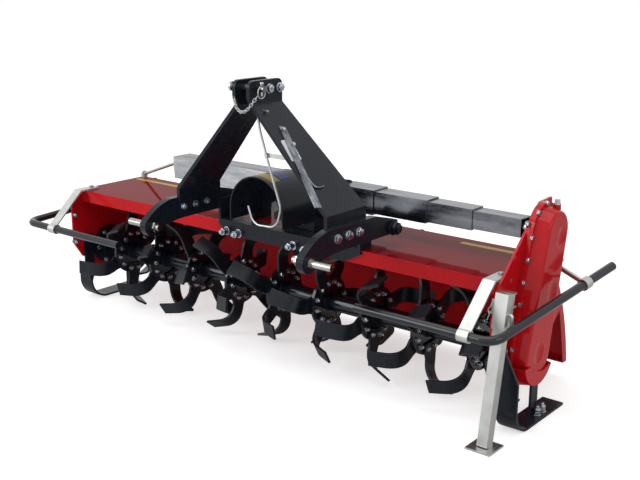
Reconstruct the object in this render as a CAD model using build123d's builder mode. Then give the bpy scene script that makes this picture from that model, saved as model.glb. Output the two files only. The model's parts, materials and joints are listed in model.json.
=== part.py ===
from build123d import *
import os
from math import cos, sin, tan, radians, sqrt

# Rotary tiller for a three-point hitch, in millimetres.
# X runs across the machine towards the chain case, Y towards the rear, Z up.
# The floor under the skids is at z = 0 and x = 0 is half-way between the side plates.

os.makedirs("parts", exist_ok=True)

# Overall sizes
side_span = 1873.0
side_sheet = 8.0
deck_front = -87.0
deck_depth = 333.0
deck_height = 460.0
deck_sheet = 5.0
lip_drop = 45.0
rear_drop = 14.0
seat_gap = 0.2
turn_gap = 0.1

# Rotor
rotor_setback = 125.0
rotor_height = 215.0
rotor_radius = 205.0
rotor_tube_radius = 29.0
rotor_shift = 16.0
flange_count = 9
flange_pitch = 199.0
flange_radius = 90.0
flange_sheet = 10.0
stub_radius = 24.0
tine_sheet = 8.0
tine_root = 50.0
tine_root_width = 60.0
tine_neck_width = 50.0
tine_tip_width = 48.0
tine_bend_radius = 58.0
tine_bend_angle = 70.0
tine_fold_turn = 28.0
tine_fold_start = 107.0
tine_reach = 95.0
tine_lag = 40.0
tines_per_flange = 6
flange_step = 18.5
first_phase = 55.5

# Hitch, measured from the hitch's own middle plane
hitch_shift = 138.0
pin_shoulder_span = 683.0
lower_pin_radius = 11.0
lower_pin_reach = 82.0
lower_pin_rise = 35.0
lower_pin_front = 298.0
mast_height = 460.0
top_pin_radius = 9.5
top_pin_front = 173.0
ear_gap = 46.0
mast_sheet = 12.0
arm_sheet = 25.0
arm_eye_radius = 33.0

# Drive
shaft_rise = 105.0
shaft_setback = 225.0
cover_size = 83.0
cover_sheet = 4.0
cover_step = 8.5
cover_inset = 350.0
cover_clear = 56.0
cover_first = 202.0
cover_shown = 164.0
cover_lap = 30.0
drive_radius = 20.0
pto_radius = 17.4
pto_front = 57.0
gearbox_width = 130.0
gearbox_crown = 87.0
gearbox_front = 10.0
gearbox_depth = 140.0
housing_radius = 52.0
guard_radius = 112.0
guard_sheet = 4.0
guard_length = 142.0
guard_skirt = 42.0

# Bars, straps and leg
bar_radius = 13.5
bar_drop = 125.0
bar_forward = 150.0
bar_free_end = 535.0
bar_corner = 45.0
left_bar_turn = 136.0
left_bar_rear = 300.0
left_bar_flare = 150.0
left_bar_rise = 20.0
right_bar_turn = 62.0
right_bar_rear = 418.0
right_bar_flare = 144.0
right_bar_rise = 102.0
strap_width = 40.0
strap_sheet = 6.0
leg_wall = 3.0
sleeve_size = 40.0
sleeve_wall = 3.0
sleeve_length = 102.0
leg_lean = 10.0
leg_slide_gap = 0.4
foot_size = 80.0
foot_sheet = 6.0

# Skids and trailing board
skid_width = 70.0
skid_sheet = 8.0
skid_bend = 80.0
board_sheet = 3.0
board_inset = 23.0
board_reach = 160.0
board_bottom = 58.0
board_rim = 22.0

# Worked out from the sizes above
half_span = side_span / 2
inner_half = half_span - side_sheet
rotor_y = deck_front + rotor_setback
lower_pin_height = deck_height + lower_pin_rise
shaft_height = deck_height + shaft_rise
gearbox_top = shaft_height + gearbox_crown
shaft_y = deck_front + shaft_setback
deck_rear = deck_front + deck_depth
arm_outer = pin_shoulder_span / 2
arm_inner = arm_outer - arm_sheet
lower_pin_y = deck_front - lower_pin_front
top_pin_y = deck_front - top_pin_front
top_pin_height = lower_pin_height + mast_height
bar_y = deck_front - bar_forward
bar_z = deck_height - bar_drop


def across(x, y=0.0, z=0.0):
    """A plane facing +X at a point, with its own x along Y and its own y along Z."""
    return Plane(origin=(x, y, z), x_dir=(0, 1, 0), z_dir=(1, 0, 0))


def keep(piece, name):
    """Label a finished piece and write it to its own STEP file."""
    piece.part.label = name
    export_step(piece.part, f"parts/{name}.step")


# Board hinge, used by the deck's lugs, the rod and the board
hinge_radius = 8.0
hinge_rod_radius = 5.0
hinge_y = deck_rear + hinge_radius + 3
hinge_z = deck_height - 12
lug_sheet = 8.0
lug_radius = 11.0
lug_gap = 3.0
lug_places = [share * (inner_half - 50) for share in (-1, -0.5, 0, 0.5, 1)]

# Hood deck: one bent sheet over the left plate, up to the right plate, with hinge lugs
with BuildPart() as deck:
    with BuildSketch(Plane.YZ.offset(-half_span)):
        with Locations((deck_front, deck_height)):
            Rectangle(deck_depth, lip_drop, align=(Align.MIN, Align.MAX))
        with Locations((deck_front + deck_sheet, deck_height - deck_sheet)):
            Rectangle(deck_depth, lip_drop, align=(Align.MIN, Align.MAX), mode=Mode.SUBTRACT)
        with Locations((deck_rear, deck_height)):
            Rectangle(deck_sheet, rear_drop, align=(Align.MAX, Align.MAX))
    extrude(amount=half_span + inner_half)
    with BuildSketch(Plane.YZ.offset(-half_span)):
        with Locations((deck_front + deck_sheet, deck_height - deck_sheet)):
            Rectangle(deck_depth, lip_drop, align=(Align.MIN, Align.MAX))
    extrude(amount=side_sheet, mode=Mode.SUBTRACT)
    for place in lug_places:
        with BuildSketch(Plane.YZ.offset(place - lug_sheet / 2)):
            with Locations((hinge_y, hinge_z)):
                Circle(lug_radius)
                Rectangle(lug_radius + 8, 2 * lug_radius, align=(Align.MAX, Align.CENTER))
                Circle(hinge_rod_radius + seat_gap, mode=Mode.SUBTRACT)
        extrude(amount=lug_sheet)
keep(deck, "hood_deck")

# Side plates: the left one is low, the right one rises to the upper chain wheel
plate_nose = 45.0
plate_top_rise = 196.0
plate_boss = 106.0
left_outline = [
    (deck_front - 1, deck_height - 6),
    (deck_front - plate_nose + 10, deck_height - 22),
    (deck_front - plate_nose, deck_height - 42),
    (deck_front - plate_nose, rotor_height + 36),
    (deck_front - 5, rotor_height - 25),
    (rotor_y, rotor_height - 60),
    (rotor_y + 160, rotor_height - 20),
    (deck_rear + 50, rotor_height + 60),
    (deck_rear - 6, deck_height - rear_drop - 2),
    (deck_rear - 6, deck_height - deck_sheet),
    (deck_front + deck_sheet, deck_height - deck_sheet),
    (deck_front + deck_sheet, deck_height - lip_drop - 1),
    (deck_front - 1, deck_height - lip_drop - 1),
]
right_outline = left_outline[1:9] + [
    (deck_rear, deck_height + 20),
    (deck_front + 279, deck_height + plate_top_rise - 26),
    (deck_front + 276, deck_height + plate_top_rise),
    (deck_front + 206, deck_height + plate_top_rise - 3),
    (deck_front + 8, deck_height + 12),
]

with BuildPart() as left_plate:
    with BuildSketch(Plane.YZ.offset(-half_span)):
        with BuildLine():
            Polyline(left_outline, close=True)
        make_face()
        with Locations((rotor_y, rotor_height)):
            Circle(plate_boss)
            Circle(stub_radius + 12, mode=Mode.SUBTRACT)
    extrude(amount=side_sheet)
keep(left_plate, "side_plate_left")

with BuildPart() as right_plate:
    with BuildSketch(Plane.YZ.offset(inner_half)):
        with BuildLine():
            Polyline(right_outline, close=True)
        make_face()
        with Locations((rotor_y, rotor_height)):
            Circle(plate_boss)
            Circle(stub_radius + 12, mode=Mode.SUBTRACT)
        with Locations((shaft_y, shaft_height)):
            Circle(drive_radius + 8, mode=Mode.SUBTRACT)
    extrude(amount=side_sheet)
keep(right_plate, "side_plate_right")

# Rotor bearings: flanged housings bolted inside each side plate
bearing_radius = 78.0
bearing_depth = 34.0
bearing_hub_radius = 48.0
for side, name in ((-1, "rotor_bearing_left"), (1, "rotor_bearing_right")):
    with BuildPart() as bearing:
        with BuildSketch(Plane.YZ.offset(side * inner_half)):
            with Locations((rotor_y, rotor_height)):
                Circle(bearing_radius)
        extrude(amount=-side * bearing_depth / 2)
        with BuildSketch(Plane.YZ.offset(side * inner_half)):
            with Locations((rotor_y, rotor_height)):
                Circle(bearing_hub_radius)
        extrude(amount=-side * bearing_depth)
        with BuildSketch(Plane.YZ.offset(side * (inner_half + 1))):
            with Locations((rotor_y, rotor_height)):
                Circle(stub_radius + turn_gap)
        extrude(amount=-side * (bearing_depth + 2), mode=Mode.SUBTRACT)
    keep(bearing, name)

# Cap over the left bearing, outside the side plate
cap_depth = 14.0
with BuildPart() as bearing_cap:
    with BuildSketch(Plane.YZ.offset(-half_span)):
        with Locations((rotor_y, rotor_height)):
            Circle(bearing_radius)
    extrude(amount=-cap_depth / 2)
    with BuildSketch(Plane.YZ.offset(-half_span)):
        with Locations((rotor_y, rotor_height)):
            Circle(bearing_hub_radius)
    extrude(amount=-cap_depth)
keep(bearing_cap, "bearing_cap_left")

# Rotor tube with its nine tine flanges and end stubs
flange_x = [
    rotor_shift + (index - (flange_count - 1) / 2) * flange_pitch for index in range(flange_count)
]
tube_left = flange_x[0] - 45
tube_right = flange_x[-1] + 45
rotor_axis = across(0, rotor_y, rotor_height)
with BuildPart() as rotor:
    with BuildSketch(rotor_axis.offset(tube_left)):
        Circle(rotor_tube_radius)
    extrude(amount=tube_right - tube_left)
    with BuildSketch(rotor_axis.offset(-inner_half + 4)):
        Circle(stub_radius)
    extrude(amount=2 * inner_half - 8)
    for place in flange_x:
        with BuildSketch(rotor_axis.offset(place - flange_sheet / 2)):
            Circle(flange_radius)
        extrude(amount=flange_sheet)
keep(rotor, "rotor_tube")


def tine():
    """One tine on an axis along X: root at +Z, wing towards +X, swept back towards +Y."""
    bend = radians(tine_bend_angle)
    outer_radius = tine_bend_radius + tine_sheet
    wing = (tine_reach - outer_radius * (1 - cos(bend))) / sin(bend)
    out = (outer_radius * (1 - cos(bend)), tine_fold_start + outer_radius * sin(bend))
    back = (
        outer_radius - tine_bend_radius * cos(bend),
        tine_fold_start + tine_bend_radius * sin(bend),
    )
    tip = (wing * sin(bend), wing * cos(bend))
    with BuildPart() as blade:
        with BuildSketch(Plane.XZ.offset(-150)):
            with BuildLine():
                Line((0, -60), (0, tine_fold_start))
                RadiusArc((0, tine_fold_start), out, outer_radius)
                Line(out, (out[0] + tip[0], out[1] + tip[1]))
                Line((out[0] + tip[0], out[1] + tip[1]), (back[0] + tip[0], back[1] + tip[1]))
                Line((back[0] + tip[0], back[1] + tip[1]), back)
                RadiusArc(back, (tine_sheet, tine_fold_start), -tine_bend_radius)
                Line((tine_sheet, tine_fold_start), (tine_sheet, -60))
                Line((tine_sheet, -60), (0, -60))
            make_face()
        extrude(amount=300)
    fold = Rotation(-tine_fold_turn, 0, 0) * blade.part
    with BuildPart() as cut:
        with BuildSketch(Plane.YZ.offset(-10)):
            half_root = tine_root_width / 2
            half_neck = tine_neck_width / 2
            half_tip = tine_tip_width / 2
            neck = flange_radius + 12
            middle = (neck + rotor_radius) / 2
            lead = (tine_lag - half_tip, rotor_radius - 3)
            trail = (tine_lag + half_tip - 2, rotor_radius - 27)
            with BuildLine():
                Line((-half_root, tine_root), (-half_root, flange_radius - 8))
                Line((-half_root, flange_radius - 8), (-half_neck, neck))
                ThreePointArc((-half_neck, neck), (-half_neck + tine_lag * 0.28, middle), lead)
                Line(lead, (lead[0] + 14, lead[1] + 30))
                Line((lead[0] + 14, lead[1] + 30), (trail[0] + 14, trail[1] + 30))
                Line((trail[0] + 14, trail[1] + 30), trail)
                ThreePointArc(trail, (half_neck + tine_lag * 0.34, middle - 8), (half_neck, neck))
                Line((half_neck, neck), (half_root, flange_radius - 8))
                Line((half_root, flange_radius - 8), (half_root, tine_root))
                Line((half_root, tine_root), (-half_root, tine_root))
            make_face()
        extrude(amount=200)
        add(fold, mode=Mode.INTERSECT)
        with BuildSketch(Plane.YZ.offset(-20)):
            Circle(rotor_radius)
        extrude(amount=220, mode=Mode.INTERSECT)
    return cut.part


right_tine = tine()
left_tine = mirror(right_tine, about=Plane.YZ)
tine_turn = 360 / tines_per_flange
for shape, side, name in ((right_tine, 1, "tines_right_hand"), (left_tine, -1, "tines_left_hand")):
    with BuildPart() as tines:
        for row, place in enumerate(flange_x):
            for turn in range(0, tines_per_flange, 2):
                phase = first_phase + row * flange_step + (turn + (side < 0)) * tine_turn
                seat = Location((place + side * flange_sheet / 2, rotor_y, rotor_height))
                add(seat * Rotation(phase, 0, 0) * shape)
    keep(tines, name)

# Chain case: a base against the right plate and a pressed cover
case_base = 16.0
case_depth = 62.0
case_low_radius = 82.0
case_high_radius = 72.0
case_flange = 10.0
dish_radius = 32.0
dish_deep = 6.0
case_top_y = shaft_y - 17
case_top_z = shaft_height + 7


def case_outline(low, high):
    """Two circles joined by their common tangents."""
    with Locations((rotor_y, rotor_height)):
        Circle(low)
    with Locations((case_top_y, case_top_z)):
        Circle(high)
    make_hull()


with BuildPart() as case_back:
    with BuildSketch(Plane.YZ.offset(half_span)):
        case_outline(case_low_radius + case_flange, case_high_radius + case_flange)
    extrude(amount=case_base)
    with BuildSketch(Plane.YZ.offset(half_span)):
        with Locations((rotor_y, rotor_height)):
            Circle(stub_radius + 12)
        with Locations((shaft_y, shaft_height)):
            Circle(drive_radius + 2)
    extrude(amount=case_base / 2, mode=Mode.SUBTRACT)
keep(case_back, "chain_case_base")

filler_x = half_span + case_base + 22
filler_y = case_top_y + 26
filler_radius = 11.0
filler_seat = case_top_z + case_high_radius + 2
with BuildPart() as case_cover:
    with BuildSketch(Plane.YZ.offset(half_span + case_base)):
        case_outline(case_low_radius + case_flange, case_high_radius + case_flange)
    extrude(amount=4)
    with BuildSketch(Plane.YZ.offset(half_span + case_base)):
        case_outline(case_low_radius, case_high_radius)
    extrude(amount=case_depth - case_base, taper=14)
    fillet(case_cover.faces().sort_by(Axis.X)[-1].edges(), radius=9)
    dish_ball = (dish_radius**2 + dish_deep**2) / (2 * dish_deep)
    for dish_y, dish_z in (
        (rotor_y, rotor_height + 8),
        ((rotor_y + case_top_y) / 2 + 18, (rotor_height + case_top_z) / 2 + 4),
        (case_top_y + 14, case_top_z - 20),
    ):
        with Locations((half_span + case_depth + dish_ball - dish_deep, dish_y, dish_z)):
            Sphere(dish_ball, mode=Mode.SUBTRACT)
    with BuildSketch(Plane.XY.offset(filler_seat - 30)):
        with Locations((filler_x, filler_y)):
            Circle(filler_radius)
    extrude(amount=30)
keep(case_cover, "chain_case_cover")

# Filler plug on the neck at the top of the case
with BuildPart() as filler:
    with BuildSketch(Plane.XY.offset(filler_seat)):
        with Locations((filler_x, filler_y)):
            Circle(filler_radius - 1)
    extrude(amount=4)
    with BuildSketch(Plane.XY.offset(filler_seat + 4)):
        with Locations((filler_x, filler_y)):
            RegularPolygon(filler_radius - 2, 6)
    extrude(amount=11)
keep(filler, "case_filler_plug")

# Guard around the foot of the chain case
stone_sheet = 5.0
stone_reach = case_low_radius + case_flange + seat_gap
stone_neck = case_low_radius + 3
stone_turn = case_base + 8
stone_face = case_depth + seat_gap + stone_sheet
stone_fall = (stone_reach - stone_neck + 1) / (stone_face - stone_turn)
stone_plane = Plane(origin=(half_span, rotor_y, rotor_height), x_dir=(1, 0, 0), z_dir=(0, 1, 0))
with BuildPart() as stone_guard:
    with BuildSketch(stone_plane):
        with BuildLine():
            Polyline(
                (2, stone_reach),
                (case_base + 5, stone_reach),
                (case_depth + seat_gap, stone_neck),
                (case_depth + seat_gap, 0),
                (stone_face, 0),
                (stone_face, stone_neck + stone_sheet - 1),
                (stone_turn, stone_reach + stone_sheet),
                (2, stone_reach + stone_sheet),
                close=True,
            )
        make_face()
    revolve(axis=Axis((0, rotor_y, rotor_height), (1, 0, 0)), revolution_arc=360)
    with BuildSketch(Plane.YZ.offset(half_span)):
        with BuildLine():
            Polyline(
                (rotor_y - 150, rotor_height - 20),
                (rotor_y - 50, rotor_height - 18),
                (rotor_y - 30, rotor_height - 32),
                (rotor_y - 6, rotor_height - 47),
                (rotor_y + 25, rotor_height - 54),
                (rotor_y + 66, rotor_height - 46),
                (rotor_y + 150, rotor_height - 30),
                (rotor_y + 150, rotor_height + 150),
                (rotor_y - 150, rotor_height + 150),
                close=True,
            )
        make_face()
    extrude(amount=case_depth + 40, mode=Mode.SUBTRACT)
keep(stone_guard, "stone_guard")

# Skids: bent strips with a front lug on the plate's inner face, and a rear post
skid_rear = deck_front + 300
skid_inner = inner_half - skid_sheet
lug_width = 44.0
lug_top = rotor_height + 60
post_width = 40.0
post_back = 4.0


def skid_strip(side, near, front, arm_top):
    """The bent strip of a skid: an upright arm, a bend and the sole."""
    with BuildPart() as strip:
        with BuildSketch(Plane.YZ.offset(side * near)):
            with BuildLine():
                Line((front, arm_top), (front, skid_bend))
                RadiusArc((front, skid_bend), (front + skid_bend, 0), -skid_bend)
                Line((front + skid_bend, 0), (skid_rear, 0))
                Line((skid_rear, 0), (skid_rear, skid_sheet))
                Line((skid_rear, skid_sheet), (front + skid_bend, skid_sheet))
                RadiusArc(
                    (front + skid_bend, skid_sheet),
                    (front + skid_sheet, skid_bend),
                    skid_bend - skid_sheet,
                )
                Line((front + skid_sheet, skid_bend), (front + skid_sheet, arm_top))
                Line((front + skid_sheet, arm_top), (front, arm_top))
            make_face()
        extrude(amount=side * skid_width)
    return strip.part


# Left skid: its lug is on the plate's inner face
left_front = deck_front + 22
left_arm_top = rotor_height - 80
with BuildPart() as skid_left:
    add(skid_strip(-1, skid_inner, left_front, left_arm_top))
    with BuildSketch(Plane.YZ.offset(-inner_half)):
        with BuildLine():
            Polyline(
                (left_front, skid_bend),
                (left_front - 22, left_arm_top + 20),
                (left_front - 22, lug_top),
                (left_front - 22 + lug_width, lug_top),
                (left_front - 22 + lug_width, left_arm_top - 20),
                (left_front + skid_sheet, skid_bend),
                close=True,
            )
        make_face()
    extrude(amount=skid_sheet)
keep(skid_left, "skid_left")

left_post_y = rotor_y + bearing_radius + post_width / 2 + 6
with BuildPart() as post_left:
    with BuildSketch(Plane.YZ.offset(-inner_half)):
        with Locations((left_post_y, skid_sheet)):
            Rectangle(post_width, rotor_height + 40, align=(Align.CENTER, Align.MIN))
    extrude(amount=skid_sheet)
keep(post_left, "skid_post_left")

# Right skid: it runs under the chain case, and its arm narrows to a lug on the plate
right_front = deck_front - 8
right_arm_top = rotor_height - 50
arm_tip = 24.0
right_lug = 34.0
with BuildPart() as skid_right:
    add(skid_strip(1, half_span, right_front, right_arm_top))
    with BuildSketch(Plane.XZ.offset(-right_front)):
        with BuildLine():
            Polyline(
                (half_span, right_arm_top),
                (half_span + skid_width, right_arm_top),
                (half_span + arm_tip, lug_top - 20),
                (half_span, lug_top),
                close=True,
            )
        make_face()
    extrude(amount=-skid_sheet)
    with BuildSketch(Plane.YZ.offset(half_span)):
        with BuildLine():
            Polyline(
                (right_front, right_arm_top - 20),
                (right_front, lug_top),
                (right_front + right_lug, lug_top),
                (right_front + right_lug, right_arm_top + 30),
                (right_front + skid_sheet, right_arm_top - 20),
                close=True,
            )
        make_face()
    extrude(amount=skid_sheet)
keep(skid_right, "skid_right")

# Post between the right skid's sole and the guard under the chain case
right_post_y = rotor_y + 44
with BuildPart() as post_right:
    with BuildSketch(Plane.YZ.offset(half_span + stone_turn + post_back)):
        with Locations((right_post_y, skid_sheet)):
            Rectangle(post_width, rotor_height - 60, align=(Align.CENTER, Align.MIN))
        with Locations((rotor_y, rotor_height)):
            Circle(
                stone_reach + stone_sheet - post_back * stone_fall + seat_gap,
                mode=Mode.SUBTRACT,
            )
    extrude(amount=skid_sheet)
keep(post_right, "skid_post_right")

# Trailing board, hinged along the deck's rear edge
board_half = inner_half - board_inset + side_sheet
board_foot_y = hinge_y + board_reach
board_bulge = 26.0
with BuildPart() as board:
    with BuildSketch(Plane.YZ.offset(-board_half)):
        mid_y = (hinge_y + board_foot_y) / 2 + board_bulge
        mid_z = (hinge_z + board_bottom) / 2 + 8
        with BuildLine():
            ThreePointArc((hinge_y, hinge_z), (mid_y, mid_z), (board_foot_y, board_bottom))
            Line((board_foot_y, board_bottom), (board_foot_y + board_sheet, board_bottom))
            ThreePointArc(
                (board_foot_y + board_sheet, board_bottom),
                (mid_y + board_sheet, mid_z),
                (hinge_y + board_sheet, hinge_z),
            )
            Line((hinge_y + board_sheet, hinge_z), (hinge_y, hinge_z))
        make_face()
    extrude(amount=2 * board_half)
    board_curve = Edge.make_three_point_arc(
        Vector(board_foot_y, board_bottom), Vector(mid_y, mid_z), Vector(hinge_y, hinge_z)
    )
    rim_start = board_curve @ 0.88
    rim_middle = board_curve @ 0.5
    for end in (-board_half, board_half - board_sheet):
        with BuildSketch(Plane.YZ.offset(end)):
            with BuildLine():
                ThreePointArc(
                    (board_foot_y - board_rim, board_bottom),
                    (rim_middle.X - board_rim, rim_middle.Y),
                    (rim_start.X, rim_start.Y),
                )
                ThreePointArc(
                    (rim_start.X, rim_start.Y),
                    (rim_middle.X + 1, rim_middle.Y),
                    (board_foot_y + 1, board_bottom),
                )
                Line((board_foot_y + 1, board_bottom), (board_foot_y - board_rim, board_bottom))
            make_face()
        extrude(amount=board_sheet)
    with BuildSketch(Plane.YZ.offset(-board_half)):
        with Locations((board_foot_y + board_sheet, board_bottom)):
            Rectangle(board_rim + board_sheet, board_sheet, align=(Align.MAX, Align.MIN))
    extrude(amount=2 * board_half)
    with BuildSketch(Plane.YZ.offset(-board_half)):
        with Locations((hinge_y, hinge_z)):
            Circle(hinge_radius)
    extrude(amount=2 * board_half)
    with BuildSketch(Plane.YZ.offset(-board_half)):
        with Locations((hinge_y, hinge_z)):
            Circle(hinge_rod_radius + turn_gap)
    extrude(amount=2 * board_half, mode=Mode.SUBTRACT)
    for place in lug_places:
        with BuildSketch(Plane.YZ.offset(place - lug_sheet / 2 - lug_gap)):
            with Locations((hinge_y, hinge_z)):
                Circle(lug_radius + lug_gap)
        extrude(amount=lug_sheet + 2 * lug_gap, mode=Mode.SUBTRACT)
keep(board, "trailing_board")

with BuildPart() as hinge_rod:
    with BuildSketch(Plane.YZ.offset(-inner_half)):
        with Locations((hinge_y, hinge_z)):
            Circle(hinge_rod_radius)
    extrude(amount=2 * inner_half)
keep(hinge_rod, "board_hinge_rod")

# Front beam of the hitch frame, an angle over the deck's lip
hitch = Location((hitch_shift, 0, 0))
beam_half = arm_inner - 12
beam_sheet = 8.0
beam_drop = 52.0
beam_taper = 32.0
with BuildPart() as beam:
    with BuildSketch(Plane.YZ.offset(hitch_shift - beam_half)):
        with Locations((deck_front - beam_sheet, deck_height + beam_sheet)):
            Rectangle(60, beam_sheet, align=(Align.MIN, Align.MAX))
            Rectangle(beam_sheet, beam_drop, align=(Align.MIN, Align.MAX))
    extrude(amount=2 * beam_half)
    for side in (-1, 1):
        with BuildSketch(Plane.YZ.offset(hitch_shift + side * beam_half)):
            with Locations((deck_front - beam_sheet, deck_height)):
                Rectangle(60, 80, align=(Align.MIN, Align.MIN))
        extrude(amount=-side * 10)
        corner = (hitch_shift + side * beam_half, deck_height + beam_sheet - beam_drop)
        with BuildSketch(Plane.XZ.offset(-deck_front - 60)):
            with BuildLine():
                Polyline(
                    (corner[0] + side, corner[1] - 1),
                    (corner[0] + side, corner[1] + beam_taper),
                    (corner[0] - side * 2 * beam_taper, corner[1] - 1),
                    close=True,
                )
            make_face()
        extrude(amount=140, mode=Mode.SUBTRACT)
keep(beam, "hitch_front_beam")

# Lower arms
rod_radius = 14.0
rod_y = deck_front + 115
rod_z = lower_pin_height + 22
arm_top = lower_pin_height + 76
arm_low = lower_pin_height + 4
for side, name in ((-1, "lower_arm_left"), (1, "lower_arm_right")):
    with BuildPart() as arm:
        with BuildSketch(Plane.YZ.offset(hitch_shift + side * arm_inner)):
            with BuildLine():
                Line((lower_pin_y, lower_pin_height - arm_eye_radius), (lower_pin_y + 30, lower_pin_height - 14))
                ThreePointArc(
                    (lower_pin_y + 30, lower_pin_height - 14),
                    (lower_pin_y + 85, lower_pin_height - 2),
                    (lower_pin_y + 150, arm_low),
                )
                Line((lower_pin_y + 150, arm_low), (deck_front + 140, arm_low))
                Line((deck_front + 140, arm_low), (deck_front + 140, arm_low + 40))
                Line((deck_front + 140, arm_low + 40), (deck_front + 20, arm_top))
                Line((deck_front + 20, arm_top), (deck_front - 215, arm_top))
                ThreePointArc(
                    (deck_front - 215, arm_top),
                    (lower_pin_y + 28, lower_pin_height + 58),
                    (lower_pin_y - arm_eye_radius, lower_pin_height + 12),
                )
                Line(
                    (lower_pin_y - arm_eye_radius, lower_pin_height + 12),
                    (lower_pin_y, lower_pin_height - arm_eye_radius),
                )
            make_face()
            with Locations((lower_pin_y, lower_pin_height)):
                Circle(arm_eye_radius)
                Circle(lower_pin_radius + seat_gap, mode=Mode.SUBTRACT)
            with Locations((rod_y, rod_z)):
                Circle(rod_radius + seat_gap, mode=Mode.SUBTRACT)
        extrude(amount=side * arm_sheet)
    keep(arm, name)
    with BuildPart() as pin:
        pin_line = across(hitch_shift, lower_pin_y, lower_pin_height)
        with BuildSketch(pin_line.offset(side * (arm_inner - 34))):
            Circle(lower_pin_radius)
        extrude(amount=side * (34 + arm_sheet + lower_pin_reach))
        with BuildSketch(pin_line.offset(side * arm_outer)):
            Circle(lower_pin_radius + 6)
        extrude(amount=side * 8)
        with BuildSketch(pin_line.offset(side * arm_inner)):
            RegularPolygon(18, 6)
        extrude(amount=-side * 20)
    keep(pin, name.replace("lower_arm", "lower_pin"))

# Mast plates: inclined legs with an upright foot and an upright ear
foot_bend = lower_pin_height + 106
ear_bottom = top_pin_height - 52
ear_top = top_pin_height + 24
mast_inner = ear_gap / 2
foot_inner = arm_inner - mast_sheet
hook_y = deck_front - 163
hook_hole_z = ear_bottom - 14
hook_radius = 3.5
for side, name in ((-1, "mast_plate_left"), (1, "mast_plate_right")):
    with BuildPart() as mast:
        with BuildSketch(Plane.XZ.offset(-deck_front + 300)):
            low = (hitch_shift + side * foot_inner, arm_low + 6)
            knee = (hitch_shift + side * foot_inner, foot_bend)
            neck = (hitch_shift + side * mast_inner, ear_bottom)
            head = (hitch_shift + side * mast_inner, ear_top)
            shift = side * mast_sheet
            with BuildLine():
                Polyline(
                    low,
                    knee,
                    neck,
                    head,
                    (head[0] + shift, head[1]),
                    (neck[0] + shift, neck[1] + 4),
                    (knee[0] + shift, knee[1] + 4),
                    (low[0] + shift, low[1]),
                    close=True,
                )
            make_face()
        extrude(amount=-600)
        with BuildSketch(Plane.YZ.offset(hitch_shift + side * (mast_inner - 5))) as side_view:
            with BuildLine():
                Polyline(
                    (deck_front - 188, arm_low),
                    (deck_front - 188, foot_bend),
                    (deck_front - 196, ear_bottom),
                    (deck_front - 210, ear_bottom + 24),
                    (deck_front - 210, ear_top),
                    (deck_front - 60, ear_top),
                    (deck_front - 60, ear_bottom + 4),
                    (deck_front + 4, foot_bend),
                    (deck_front + 4, arm_low),
                    close=True,
                )
            make_face()
            fillet(side_view.vertices().group_by(Axis.Y)[-1], 20)
            fillet(side_view.vertices().group_by(Axis.Y)[0], 10)
        extrude(amount=side * 500, mode=Mode.INTERSECT)
        with BuildSketch(Plane.YZ.offset(hitch_shift + side * (mast_inner - 5))):
            with Locations((top_pin_y, top_pin_height)):
                Circle(top_pin_radius + seat_gap)
            if side > 0:
                with Locations((hook_y, hook_hole_z)):
                    Circle(hook_radius + seat_gap)
        extrude(amount=side * 60, mode=Mode.SUBTRACT)
    keep(mast, name)

with BuildPart() as top_pin:
    pin_line = across(hitch_shift, top_pin_y, top_pin_height)
    with BuildSketch(pin_line.offset(-ear_gap / 2 - mast_sheet - 30)):
        Circle(top_pin_radius)
    extrude(amount=ear_gap + 2 * mast_sheet + 60)
    with BuildSketch(pin_line.offset(-ear_gap / 2 - mast_sheet - 30)):
        Circle(top_pin_radius + 5)
    extrude(amount=-8)
keep(top_pin, "top_link_pin")

with BuildPart() as spacer:
    with BuildSketch(Plane.YZ.offset(hitch_shift - ear_gap / 2)):
        with Locations((deck_front - 92, top_pin_height - 6)):
            Rectangle(46, 24)
    extrude(amount=ear_gap)
keep(spacer, "mast_spacer")

# Cross rod on two saddles, which carries the arms at the rear
with BuildPart() as cross_rod:
    with BuildSketch(across(hitch_shift - arm_outer - 26, rod_y, rod_z)):
        Circle(rod_radius)
    extrude(amount=2 * arm_outer + 52)
keep(cross_rod, "hitch_cross_rod")
saddle_shift = 210.0
saddle_foot = 90.0
for side, name in ((-1, "rod_saddle_left"), (1, "rod_saddle_right")):
    with BuildPart() as saddle:
        with BuildSketch(Plane.YZ.offset(hitch_shift + side * saddle_shift)):
            with Locations((rod_y, deck_height)):
                Rectangle(saddle_foot, rod_z - deck_height + 6, align=(Align.CENTER, Align.MIN))
            with Locations((rod_y, rod_z)):
                Circle(rod_radius + 12)
                Circle(rod_radius + seat_gap, mode=Mode.SUBTRACT)
        extrude(amount=side * 12)
    keep(saddle, name)

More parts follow.
